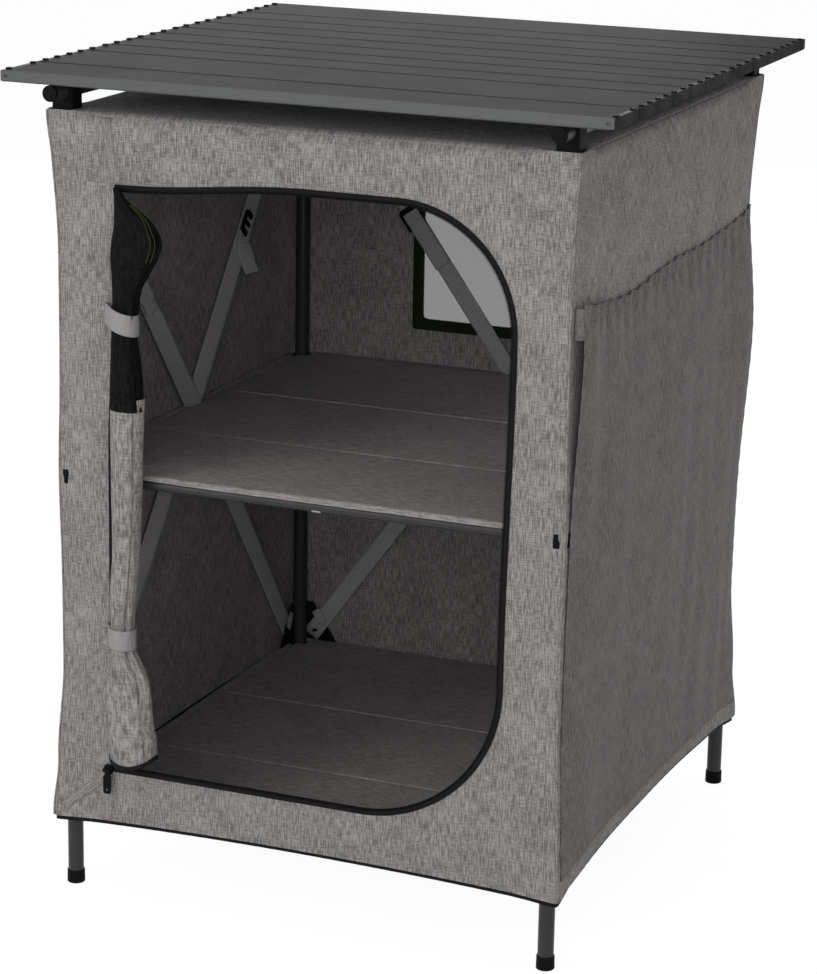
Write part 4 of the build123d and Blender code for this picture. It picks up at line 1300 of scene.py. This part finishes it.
def roll_spot(rings, turns, angle, z, pleat, seed):
    """A place on the rolled cloth: its turns wind inwards, its ties draw pleats."""
    share = (z - DOOR[2]) / (DOOR[3] - DOOR[2])
    x, wide, deep = table_value(rings, share)
    wound = angle / (math.tau * turns)
    shrink = 1.0 - 0.7 * (1.0 - wound) ** 2.5
    tied = sum(math.exp(-(((share - tie) / 0.055) ** 2)) for tie in TIE_SHARES)
    fold = pleat * (0.25 + tied) * math.cos(7 * angle + 26 * z + 2.5 * soft_noise(z, 0, seed, 0.07))
    fold += 1.1 * pleat * soft_noise(math.cos(angle) * 0.1 + wound * 0.07, z * 0.45, seed, 0.05)
    wide = max(wide * shrink + fold, 0.001)
    deep = max(deep * shrink + fold, 0.001)
    return Vector((x + wide * math.cos(angle), ROLL_Y + deep * math.sin(angle), z))


def rolled_cloth(name, node, rings, turns, last_angle, material, pleat, seed, rows, lifted):
    """Cloth rolled into a loose scroll whose outer edge ends at last_angle."""
    low, high = door_z(rings[0][0]), door_z(rings[-1][0])
    columns = int(turns * 40)
    girth = 0.062 * turns

    def flat(i, j):
        return i * girth, mix(low, high, j)

    def place(run, z):
        angle = run / girth * math.tau * turns
        spot = roll_spot(rings, turns, angle, z, pleat, seed)
        turn = last_angle - math.tau * turns
        centre = Vector((table_value(rings, (z - DOOR[2]) / (DOOR[3] - DOOR[2]))[0], ROLL_Y, z))
        loose = spot - centre
        _, wide, deep = table_value(rings, (z - DOOR[2]) / (DOOR[3] - DOOR[2]))
        level = Vector((loose.x / wide, loose.y / deep))
        level.rotate(Matrix.Rotation(turn, 2))
        rise = (0.010 * level.x**2 + 0.004 * level.x) * (1 - smooth((z - low) / 0.05)) * lifted
        return centre + Vector((level.x * wide, level.y * deep, rise))

    bm = woven_grid(columns, rows, flat, place)
    turn_outwards(bm, lambda spot: Vector((-0.183, ROLL_Y, spot.z)))
    piece = thicken(make_piece(name, bm, material, ROOT), 0.0007)
    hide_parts(node)
    # Not the cut width: it is worked back from this mesh, so the sheet check can't fail on it. The
    # door is cut to its opening's width, and this roll holds less than half of that cloth.
    return piece, place, girth


def rolled_door():
    """The grey door cloth and its black net, rolled to the left and tied twice."""
    grey, grey_place, girth = rolled_cloth(
        "door_roll_cloth",
        "door_roll",
        GREY_RINGS,
        2.6,
        -0.9,
        COVER_CLOTH,
        0.0011,
        1.7,
        120,
        1.0,
    )
    rolled_cloth(
        "door_net_cloth",
        "door_mesh_roll",
        NET_RINGS,
        2.2,
        -0.6,
        BLACK_NET,
        0.0013,
        5.2,
        90,
        0.0,
    )

    hem_tall = 0.0046

    def hem_flat(i, j):
        return i * girth, j * hem_tall

    def hem_place(run, up):
        spot = grey_place(run, door_z(GREY_RINGS[0][0]) + up)
        centre = Vector((GREY_RINGS[0][1], ROLL_Y, spot.z))
        return spot + (spot - centre).normalized() * 0.0008 - Vector((0, 0, 0.0035))

    bm = woven_grid(104, 3, hem_flat, hem_place)
    turn_outwards(bm, lambda spot: Vector((GREY_RINGS[0][1], ROLL_Y, spot.z)))
    hem = thicken(make_piece("door_roll_zip", bm, BLACK_TAPE, ROOT), 0.0006)

    for number, offset in ((1, 0.0), (2, -0.2)):
        points = []
        for index in range(50):
            share = mix(0.960, 0.872, index / 49)
            angle = mix(-0.30, -0.62, smooth(index / 24)) + offset
            x, wide, deep = table_value(NET_RINGS, share)
            z = door_z(share)
            reach = 1.0 + 0.0014 / wide
            points.append(
                Vector((x + wide * reach * math.cos(angle), ROLL_Y + deep * reach * math.sin(angle), z))
            )
        bm = tube_along(points, 0.0005, 8)
        make_piece(f"door_net_piping_{number}", bm, OLIVE_PIPING, ROOT)


def tie_bands():
    """The two grey bands round the rolled door, sewn to the opening's left edge."""
    pieces = []
    for share, rings, slant in ((TIE_SHARES[0], NET_RINGS, 0.30), (TIE_SHARES[1], GREY_RINGS, 0.04)):
        x, wide, deep = table_value(rings, share)
        z = door_z(share)
        wide, deep = wide + 0.0021, deep + 0.0021
        girth = math.pi * (wide + deep)

        def flat(i, j, girth=girth):
            return i * girth, j * TIE_TALL

        def place(run, up, x=x, wide=wide, deep=deep, z=z, girth=girth, slant=slant):
            angle = run / girth * math.tau
            crumple = 0.0005 * soft_noise(math.cos(angle) * 0.1, up + z, 3.3, 0.012)
            across = (wide + crumple) * math.cos(angle)
            return Vector(
                (
                    x + across,
                    ROLL_Y + (deep + crumple) * math.sin(angle),
                    z - 0.0105 + up - slant * across,
                )
            )

        bm = turn_outwards(
            close_seams(woven_grid(72, 10, flat, place)), lambda spot, x=x: Vector((x, ROLL_Y, spot.z))
        )
        pieces.append(bm)
        left = DOOR[0] - 0.006

        def tab_flat(i, j):
            return i * 0.02, j * TIE_TALL

        def tab_place(across, up, x=x, wide=wide, deep=deep, z=z, left=left, slant=slant):
            share = across / 0.02
            start = Vector((left, -WALL_Y - 0.0014, z - 0.0105 + up + slant * wide))
            angle = -2.35
            reach = wide * math.cos(angle)
            end = Vector(
                (x + reach, ROLL_Y + (deep + 0.0006) * math.sin(angle), z - 0.0105 + up - slant * reach)
            )
            return start.lerp(end, share)

        pieces.append(woven_grid(8, 10, tab_flat, tab_place))
    bm = joined(pieces)
    bands = thicken(make_piece("door_tie_bands", bm, TIE_CLOTH, ROOT), 0.0009, 0.0)
    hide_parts("door_ties")


# Window


def window():
    """The net pane in the back wall, and the binding that frames it inside and out."""
    left, right, bottom, top = WINDOW

    def flat(i, j):
        return mix(left - 0.004, right + 0.004, i), mix(bottom - 0.004, top + 0.004, j)

    def pane_place(x, z):
        return wall_point(BACK, -x, z, -0.0011)

    bm = turn_outwards(woven_grid(40, 36, flat, pane_place), centre_line)
    pane = make_piece("window_pane", bm, WINDOW_NET, ROOT)
    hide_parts("window_mesh")
    bindings = (("window_binding_inside", -0.0022, 0.0115), ("window_binding_outside", 0.0007, 0.0095))
    for name, lift, outer in bindings:

        def ring_flat(i, j):
            return i * 4, j

        def ring_place(turn, across, lift=lift, outer=outer):
            margin = mix(-0.001, outer, across)
            share = turn if turn < 4 else 0.0
            spot = loop_point(grown(WINDOW, margin), (mix(WINDOW_RADII[0], 0.001, across),) * 4, share)
            crown = 0.0004 * math.sin(math.pi * across)
            return wall_point(BACK, -spot.x, spot.y, lift - crown)

        bm = woven_grid(160, 6, ring_flat, ring_place)
        width = outer + 0.001
        length = 2 * (right - left + top - bottom)
        lay_flat(bm, lambda spot, width=width: (spot.y * width, spot.x / 4 * length))
        turn_outwards(close_seams(bm), centre_line)
        ring = thicken(make_piece(name, bm, BINDING_TAPE, ROOT), 0.0006)
        if "inside" in name:
            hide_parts("window_binding")


# Crossed straps


STRAP_WIDTH = 0.020
STRAP_THICK = 0.0012
BUCKLE_DISTANCE = 0.205
GUSSET_WIDTH = 0.040
GUSSET_TALL = 0.046


def ribbon(points, normals, width):
    """A flat strap along points, its flat place measured along it."""
    runs = [0.0]
    for first, second in zip(points, points[1:]):
        runs.append(runs[-1] + (second - first).length)
    rows = len(points) - 1

    def flat(i, j):
        return (i - 0.5) * width, runs[round(j * rows)]

    def place(side, run):
        index = min(range(len(runs)), key=lambda i: abs(runs[i] - run))
        before, after = points[max(index - 1, 0)], points[min(index + 1, rows)]
        across = (after - before).cross(normals[index]).normalized()
        return points[index] + across * side

    return woven_grid(6, rows, flat, place), runs[-1]


def wall_strap(wall_axis, side, layer, rising, tail):
    """One tension strap: the band from corner to corner, and its loose tail at the buckle."""
    low_z, high_z = STRAP_Z
    inward = Vector((-side, 0, 0)) if wall_axis == "X" else Vector((0, -side, 0))
    reach = STRAP_REACH_Y if wall_axis == "X" else STRAP_REACH_X
    wall = (WALL_X if wall_axis == "X" else WALL_Y) - PANEL
    depth = wall - 0.0025 - STRAP_THICK / 2 - layer * 0.0016

    def on_wall(along, z, lift=0.0):
        spot = Vector((side * depth, along, z)) if wall_axis == "X" else Vector((along, side * depth, z))
        return spot + inward * lift

    start, end = on_wall(rising * reach, high_z), on_wall(-rising * reach, low_z)
    length = (end - start).length
    steps = 60
    points, normals = [], []
    for index in range(steps + 1):
        share = index / steps
        middle = math.sin(math.pi * share)
        slack = 0.0012 * layer + (0.0042 if wall_axis == "X" else 0.0)
        twist = 0.42 * middle**0.5 if wall_axis == "X" else 0.0
        points.append(start.lerp(end, share) + inward * slack * middle)
        normals.append(inward.lerp(Vector((0, -1, 0)), twist).normalized())
    bm, run = ribbon(points, normals, STRAP_WIDTH)
    meshes = [bm]
    buckle = start.lerp(end, BUCKLE_DISTANCE / length)
    fall = (end - start).normalized()
    doubled, tail_length, hang, lean = tail
    loose_points, loose_normals = [], []
    for index in range(25):
        share = index / 24
        slack = smooth((share * tail_length - doubled) / 0.03)
        way = fall.lerp(Vector((0, 0, -1)), hang * slack).normalized()
        previous = loose_points[-1] if loose_points else buckle + inward * 0.0035 - fall * 0.004
        step = tail_length / 24 if index else 0.0
        loose_points.append(previous + way * step + inward * lean * slack * step)
        loose_normals.append(inward.lerp(Vector((0, -1, 0.4)), 0.35 * slack * hang).normalized())
    tail_mesh, tail_run = ribbon(loose_points, loose_normals, STRAP_WIDTH)
    meshes.append(tail_mesh)
    return meshes, run + tail_run


STRAP_Z = (STRAP_LOW.z + 0.0095, STRAP_HIGH.z - 0.0095)
STRAP_REACH_Y = STRAP_HIGH.y
STRAP_REACH_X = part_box("cross_straps_back")[1].x


def crossed_straps():
    """The crossed straps of both side walls and of the back wall."""
    sets = {
        "side_straps": (
            "cross_straps_sides",
            [
                ("X", -1, 0, 1, (0.012, 0.062, 0.9, 0.35)),
                ("X", -1, 1, -1, (0.030, 0.070, 0.15, 0.25)),
                ("X", 1, 0, 1, (0.020, 0.066, 0.5, 0.25)),
                ("X", 1, 1, -1, (0.026, 0.058, 0.6, 0.25)),
            ],
        ),
        "back_straps": (
            "cross_straps_back",
            [
                ("Y", 1, 0, -1, (0.060, 0.072, 0.1, 0.12)),
                ("Y", 1, 1, 1, (0.040, 0.066, 0.4, 0.2)),
            ],
        ),
    }
    for name, (node, straps) in sets.items():
        meshes, total = [], 0.0
        for axis, side, layer, rising, tail in straps:
            made, run = wall_strap(axis, side, layer, rising, tail)
            meshes += made
            total += run
        piece = thicken(make_piece(name, joined(meshes), WEBBING, ROOT), STRAP_THICK, 0.0)
        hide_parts(node)


def corner_gussets():
    """Small black gussets sewn into the lower corners, with a light webbing end on each."""
    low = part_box("lower_shelf_front_board")[1].z
    gussets, ends = [], []
    for side_x in (-1, 1):
        for side_y in (-1, 1):
            for axis in ("X", "Y"):

                def flat(i, j):
                    return i * GUSSET_WIDTH * (1 - 0.75 * j), j * GUSSET_TALL

                def place(run, up, side_x=side_x, side_y=side_y, axis=axis):
                    out = LEG_X - 0.004 if axis == "Y" else LEG_Y - 0.004
                    z = low + 0.0006 + up
                    bow = 0.0015 * soft_noise(run, up, side_x + 2 * side_y, 0.02)
                    if axis == "Y":
                        return Vector((side_x * (out - run), side_y * (WALL_Y - PANEL - 0.0045 + bow), z))
                    return Vector((side_x * (WALL_X - PANEL - 0.0064 + bow), side_y * (out - run), z))

                gussets.append(woven_grid(8, 8, flat, place))
                out_along = (LEG_X if axis == "Y" else LEG_Y) - 0.024
                middle = Vector((side_x * out_along, side_y * (WALL_Y - PANEL - 0.0075), low + 0.030))
                inward = Vector((0, -side_y, 0))
                slope = Vector((-side_x * 0.6, 0, -0.8))
                if axis == "X":
                    middle = Vector((side_x * (WALL_X - PANEL - 0.0095), side_y * out_along, low + 0.030))
                    inward = Vector((-side_x, 0, 0))
                    slope = Vector((0, -side_y * 0.6, -0.8))
                points = [
                    middle + slope * (share - 0.5) * 0.02 + inward * 0.001 * share
                    for share in (0, 0.25, 0.5, 0.75, 1)
                ]
                mesh, _ = ribbon(points, [inward] * 5, 0.010)
                ends.append(mesh)
    piece = thicken(make_piece("corner_gussets", joined(gussets), BLACK_NET, ROOT), 0.0006, 0.0)
    tails = make_piece("gusset_webbing_ends", joined(ends), WEBBING, ROOT)
    thicken(tails, STRAP_THICK, 0.0)


# Shelves


BOARD_STEPS = 36


def shelf_board(node, body, seed):
    """A stiff board in its cloth sleeve, cut round the uprights at its outer corners."""
    low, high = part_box(node)
    notch_x = LEG_X - BLOCK_REACH
    notch_y = LEG_Y - BLOCK_REACH
    edge = 0.0004
    stops_x = [mix(low.x + edge, -notch_x, i / 3) for i in range(3)]
    stops_x += [mix(-notch_x, notch_x, i / BOARD_STEPS) for i in range(BOARD_STEPS)]
    stops_x += [mix(notch_x, high.x - edge, i / 3) for i in range(4)]
    first, last = low.y + edge, high.y - edge
    stops_y = [mix(first, last, i / 22) for i in range(23)]
    if first < -notch_y:
        stops_y = [mix(first, -notch_y, i / 3) for i in range(3)]
        stops_y += [mix(-notch_y, last, i / 20) for i in range(21)]
    if last > notch_y:
        stops_y = [mix(first, notch_y, i / 20) for i in range(20)]
        stops_y += [mix(notch_y, last, i / 3) for i in range(4)]

    def place(x, y):
        inner = smooth((min(abs(x - low.x), abs(high.x - x), abs(y - low.y), abs(high.y - y))) / 0.02)
        wave = 0.0007 * soft_noise(x, y, seed, 0.06) + 0.0004 * soft_noise(x, y * 3, seed + 2, 0.03)
        return Vector((x, y, high.z - 0.0006 + inner * (0.0002 + wave * 0.5)))

    sheet = notched_sheet(stops_x, stops_y, place, True)
    bm = turn_outwards(sheet, lambda spot: spot - Vector((0, 0, 1)))
    piece = make_piece(node + "_cloth", bm, SHELF_CLOTH, body)
    thicken(piece, high.z - low.z - 0.001)
    rounding = piece.modifiers.new("rounding", "BEVEL")
    rounding.width = 0.0011
    rounding.segments = 3
    rounding.limit_method = "ANGLE"
    rounding.angle_limit = math.radians(50)
    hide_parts(node)
    for number, y in ((1, low.y + 0.005), (2, high.y - 0.005)):

        def skin(share, y=y):
            x = mix(low.x + 0.018, high.x - 0.018, share)
            return place(x, y) + Vector((0, 0, 0.0001)), Vector((0, 0, 1))

        count = int((high.x - low.x - 0.036) / STITCH_PITCH)
        stitch_line(f"{node}_stitches_{number}", skin, body, count)
    return low, high


def shelf_welt(name, body, y, level):
    """The raised welt along a crease of the shelf."""
    reach = LEG_X - BLOCK_REACH
    points = [Vector((mix(-reach, reach, i / 60), y, level - 0.0003)) for i in range(61)]
    make_piece(name, tube_along(points, 0.0010, 8), SHELF_CLOTH, body)


HEM_TURN = 0.0036
HEM_LAP = 0.0035


def shelf_hem(name, body, low, high, drop):
    """The hem that is rolled over the shelf's front tube, tucked up at the left."""
    width = 2 * (LEG_X - BLOCK_REACH) - 0.002
    round_run = HEM_TURN * math.pi / 2
    length = HEM_LAP + round_run + drop

    def flat(i, j):
        return (i - 0.5) * width, j * length

    def place(x, run):
        wave = 0.0004 * soft_noise(x, run, 4.8, 0.03)
        turned = max(run - HEM_LAP, 0.0)
        turn = min(turned / round_run, 1.0) * math.pi / 2
        y = low.y + 0.0015 + max(HEM_LAP - run, 0.0) - HEM_TURN * math.sin(turn)
        z = high.z + 0.0003 - HEM_TURN * (1 - math.cos(turn))
        past = max(turned - round_run, 0.0)
        tuck = mix(0.25, 1.0, smooth((x + 0.24) / 0.16))
        return Vector((x, y + 0.12 * past + wave, z - past * tuck))

    bm = turn_outwards(woven_grid(130, 18, flat, place), lambda spot: Vector((spot.x, 0, spot.z - 0.1)))
    lay_flat(bm, lambda spot: spot.yx)
    piece = thicken(make_piece(name, bm, SHELF_CLOTH, body), 0.0009)

    def skin(share):
        x = mix(-width / 2 + 0.004, width / 2 - 0.004, share)
        return place(x, HEM_LAP + 0.9 * round_run) + Vector((0, -0.0002, 0)), Vector((0, -1, 0))

    stitch_line(name + "_stitches", skin, body, int(width / STITCH_PITCH))


def shelf_ledges(level, label):
    """Cloth strips that join a shelf's sleeve to the side walls and the back wall."""
    meshes, area = [], 0.0
    span_y = LEG_Y - BLOCK_REACH - 0.002
    span_x = LEG_X - BLOCK_REACH - 0.002
    for side in (-1, 1):

        def flat(i, j):
            return i * 0.019, j * 2 * span_y

        def place(across, run, side=side):
            share = across / 0.019
            x = mix(LEG_X - 0.0065, WALL_X - PANEL - 0.0001, share)
            z = level - 0.0052 + 0.0042 * smooth(share) + 0.0004 * soft_noise(run, across, side, 0.03)
            return Vector((side * x, run - span_y, z))

        meshes.append(woven_grid(6, 90, flat, place))
        area += 0.019 * 2 * span_y

    def back_flat(i, j):
        return i * 2 * span_x, j * 0.012

    def back_place(run, across):
        share = across / 0.012
        y = mix(LEG_Y - 0.0005, WALL_Y - PANEL - 0.0001, share)
        z = level - 0.0052 + 0.0042 * smooth(share) + 0.0004 * soft_noise(run, across, 2.5, 0.03)
        return Vector((run - span_x, y, z))

    meshes.append(woven_grid(90, 5, back_flat, back_place))
    area += 0.012 * 2 * span_x
    piece = make_piece(f"{label}_shelf_ledges", joined(meshes), SHELF_CLOTH, ROOT)
    thicken(piece, 0.0007)


def shelves():
    """Both folding shelves with their sleeves, hems and ledges."""
    for label in ("upper", "lower"):
        shelf_board(f"{label}_shelf_back_board", ROOT, 1.1)
        low, high = shelf_board(f"{label}_shelf_middle_board", f"{label}_shelf_middle", 2.3)
        shelf_welt(f"{label}_shelf_back_welt", f"{label}_shelf_middle", high.y - 0.0012, high.z)
        low, high = shelf_board(f"{label}_shelf_front_board", f"{label}_shelf_front", 3.7)
        drop = 0.0022 if label == "upper" else 0.0015
        shelf_hem(f"{label}_shelf_hem", f"{label}_shelf_front", low, high, drop)
        shelf_ledges(high.z, label)


# Turned and moulded fittings


def foot_caps():
    """Rubber-like caps with a rounded foot, on all four uprights."""
    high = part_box("foot_caps")[1]
    radius = high.x - LEG_X
    tall = high.z
    profile = [(0.0, 0.0), (radius - 0.0022, 0.0)]
    for index in range(7):
        turn = math.pi / 2 * index / 6
        profile.append((radius - 0.0012 + 0.0012 * math.sin(turn), 0.0012 * (1 - math.cos(turn))))
    profile += [(radius - 0.0001, tall * 0.35), (radius - 0.0002, tall - 0.0022)]
    for index in range(6):
        turn = math.pi / 2 * index / 5
        profile.append((radius - 0.0010 + 0.0008 * math.cos(turn), tall - 0.0008 + 0.0008 * math.sin(turn)))
    profile += [(0.00805, tall), (0.00805, tall - 0.002)]
    meshes = [
        spun(profile, 48, Vector((side_x * LEG_X, side_y * LEG_Y, 0)), (0, 0, 1))
        for side_x in (-1, 1)
        for side_y in (-1, 1)
    ]
    piece = make_piece("foot_cap_set", joined(meshes), BLACK_PLASTIC, ROOT)
    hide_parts("foot_caps")


def rail_caps():
    """Domed plugs in both ends of the rails, with a raised rim."""
    low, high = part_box("rail_end_caps")
    end_y = high.y
    rail_z = (low.z + high.z) / 2
    rail_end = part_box("rail_left")[1].y
    radius = high.x - LEG_X
    length = end_y - rail_end
    profile = [(0.0, length)]
    for index in range(1, 7):
        turn = math.pi / 2 * index / 6
        profile.append((0.0052 * math.sin(turn), length - 0.0007 * (1 - math.cos(turn))))
    profile += [(0.0058, length - 0.0004), (0.0066, length - 0.0005)]
    for index in range(1, 7):
        turn = math.pi / 2 * index / 6
        profile.append((radius - 0.0013 + 0.0013 * math.sin(turn), length - 0.0018 + 0.0013 * math.cos(turn)))
    profile += [(radius, 0.0003), (radius - 0.0004, 0.0)]
    meshes = []
    for side_x in (-1, 1):
        for side_y in (-1, 1):
            place = Vector((side_x * LEG_X, side_y * rail_end, rail_z))
            meshes.append(spun(profile, 48, place, (0, side_y, 0)))
    piece = make_piece("rail_cap_set", joined(meshes), BLACK_PLASTIC, ROOT)
    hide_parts("rail_end_caps")


def bar_screws():
    """A small socket screw at each end of both edge bars."""
    for body, node, side in (("top_slat_01", "top_front_bar", -1), ("top_slat_10", "top_back_bar", 1)):
        low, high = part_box(node)
        face = low.y if side < 0 else high.y
        z = (low.z + high.z) / 2
        meshes = []
        for end in (low.x + 0.0055, high.x - 0.0055):
            profile = [(0.0009, -0.0006), (0.0009, 0.0004), (0.0013, 0.0007)]
            for index in range(6):
                turn = math.pi / 2 * index / 5
                profile.append((0.0017 + 0.0006 * math.sin(turn), 0.0001 + 0.0006 * math.cos(turn)))
            profile += [(0.0023, -0.0004)]
            meshes.append(spun(profile, 24, Vector((end, face, z)), (0, side, 0)))
            meshes.append(spun([(0.0, -0.0006), (0.00092, -0.0006)], 6, Vector((end, face, z)), (0, side, 0)))
        piece = make_piece(f"{node}_screws", joined(meshes), BLACK_PLASTIC, body)
        piece.data.materials.clear()
        piece.data.materials.append(BAR_METAL)


# Stage


def lamp(name, place, aim, size, power):
    """A soft square lamp that looks at a point."""
    light = bpy.data.lights.new(name, "AREA")
    light.shape = "RECTANGLE"
    light.size, light.size_y = size
    light.energy = power
    holder = bpy.data.objects.new(name, light)
    holder.location = place
    way = Vector(aim) - Vector(place)
    holder.rotation_euler = way.to_track_quat("-Z", "Y").to_euler()
    bpy.context.scene.collection.objects.link(holder)


def seen_directly(tree):
    """One for rays that come from the camera, a reflection or clear material."""
    path = tree.nodes.new("ShaderNodeLightPath")
    seen = math_node(tree, "MAXIMUM", path.outputs["Is Camera Ray"], path.outputs["Is Glossy Ray"])
    return math_node(tree, "MAXIMUM", seen, path.outputs["Is Transmission Ray"])


def studio():
    """Pale floor, white surroundings and soft lamps."""
    world = bpy.data.worlds.new("studio_world")
    bpy.context.scene.world = world
    world.use_nodes = True
    tree = world.node_tree
    tree.nodes.clear()
    soft = add_node(tree, "ShaderNodeBackground", Color=(1, 1, 1, 1), Strength=0.30)
    white = add_node(tree, "ShaderNodeBackground", Color=(1, 1, 1, 1), Strength=1.0)
    blend = tree.nodes.new("ShaderNodeMixShader")
    tree.links.new(seen_directly(tree), blend.inputs[0])
    tree.links.new(soft.outputs[0], blend.inputs[1])
    tree.links.new(white.outputs[0], blend.inputs[2])
    out = tree.nodes.new("ShaderNodeOutputWorld")
    tree.links.new(blend.outputs[0], out.inputs[0])

    bm = bmesh.new()
    bmesh.ops.create_grid(bm, x_segments=2, y_segments=2, size=9.0)
    mesh = bpy.data.meshes.new("studio_floor")
    bm.to_mesh(mesh)
    bm.free()
    floor = bpy.data.objects.new("studio_floor", mesh)
    bpy.context.scene.collection.objects.link(floor)
    material = bpy.data.materials.new("studio_floor")
    material.use_nodes = True
    tree = material.node_tree
    shader = tree.nodes["Principled BSDF"]
    shader.inputs["Base Color"].default_value = (0.8, 0.8, 0.8, 1)
    shader.inputs["Roughness"].default_value = 0.9
    shader.inputs["Specular IOR Level"].default_value = 0.0
    glow = add_node(tree, "ShaderNodeEmission", Color=(1, 1, 1, 1), Strength=1.1)
    blend = tree.nodes.new("ShaderNodeMixShader")
    share = math_node(tree, "MULTIPLY", seen_directly(tree), 0.86)
    tree.links.new(share, blend.inputs[0])
    tree.links.new(shader.outputs[0], blend.inputs[1])
    tree.links.new(glow.outputs[0], blend.inputs[2])
    tree.links.new(blend.outputs[0], tree.nodes["Material Output"].inputs[0])
    mesh.materials.append(material)

    middle = (0, 0, 0.45)
    lamp("key_lamp", (-1.8, -3.3, 1.8), middle, (1.8, 1.8), 46)
    lamp("front_lamp", (0.7, -3.4, 1.25), middle, (2.8, 1.2), 30)
    lamp("fill_lamp", (3.2, -1.6, 1.7), middle, (2.0, 2.2), 9)
    lamp("top_lamp", (0.2, 0.4, 3.4), middle, (2.6, 2.6), 38)
    lamp("back_lamp", (-1.8, 3.2, 2.0), middle, (2.4, 2.0), 40)


def camera():
    """The camera that sees the cupboard as the photograph does."""
    data = bpy.data.cameras.new("camera")
    data.lens = CAMERA_LENS
    data.sensor_width = CAMERA_SENSOR
    data.sensor_fit = "AUTO"
    data.clip_end = 60
    holder = bpy.data.objects.new("camera", data)
    bpy.context.scene.collection.objects.link(holder)
    back = Vector(
        (
            math.sin(CAMERA_AZIMUTH) * math.cos(CAMERA_HEIGHT),
            -math.cos(CAMERA_AZIMUTH) * math.cos(CAMERA_HEIGHT),
            math.sin(CAMERA_HEIGHT),
        )
    )
    level = Vector((math.cos(CAMERA_AZIMUTH), math.sin(CAMERA_AZIMUTH), 0))
    upright = back.cross(level)
    right = level * math.cos(CAMERA_ROLL) + upright * math.sin(CAMERA_ROLL)
    up = upright * math.cos(CAMERA_ROLL) - level * math.sin(CAMERA_ROLL)
    turn = Matrix((right, up, back)).transposed().to_4x4()
    holder.matrix_world = Matrix.Translation(CAMERA_PLACE) @ turn
    bpy.context.scene.camera = holder


camera()
studio()
finish_nodes()
WINDOW_SEEN = (-WINDOW[1], -WINDOW[0], WINDOW[2], WINDOW[3])
framed_wall(
    "front_cloth", "cover_front", FRONT, lambda share: door_outline(0.0, share), 480, 26
)
framed_wall(
    "back_cloth",
    "cover_back",
    BACK,
    lambda share: loop_point(WINDOW_SEEN, WINDOW_RADII, share),
    320,
    44,
)
side_wall("right_cloth", "cover_right", RIGHT)
side_wall("left_cloth", "cover_left", LEFT)
cover_roof()
cover_floor()
hem_lining()
hem_stitches()
corner_seams()
front_seams()
door_edge()
side_pocket(1, "right")
side_pocket(-1, "left")
rolled_door()
tie_bands()
window()
crossed_straps()
corner_gussets()
shelves()
foot_caps()
rail_caps()
bar_screws()
bpy.context.scene.view_settings.view_transform = "Standard"
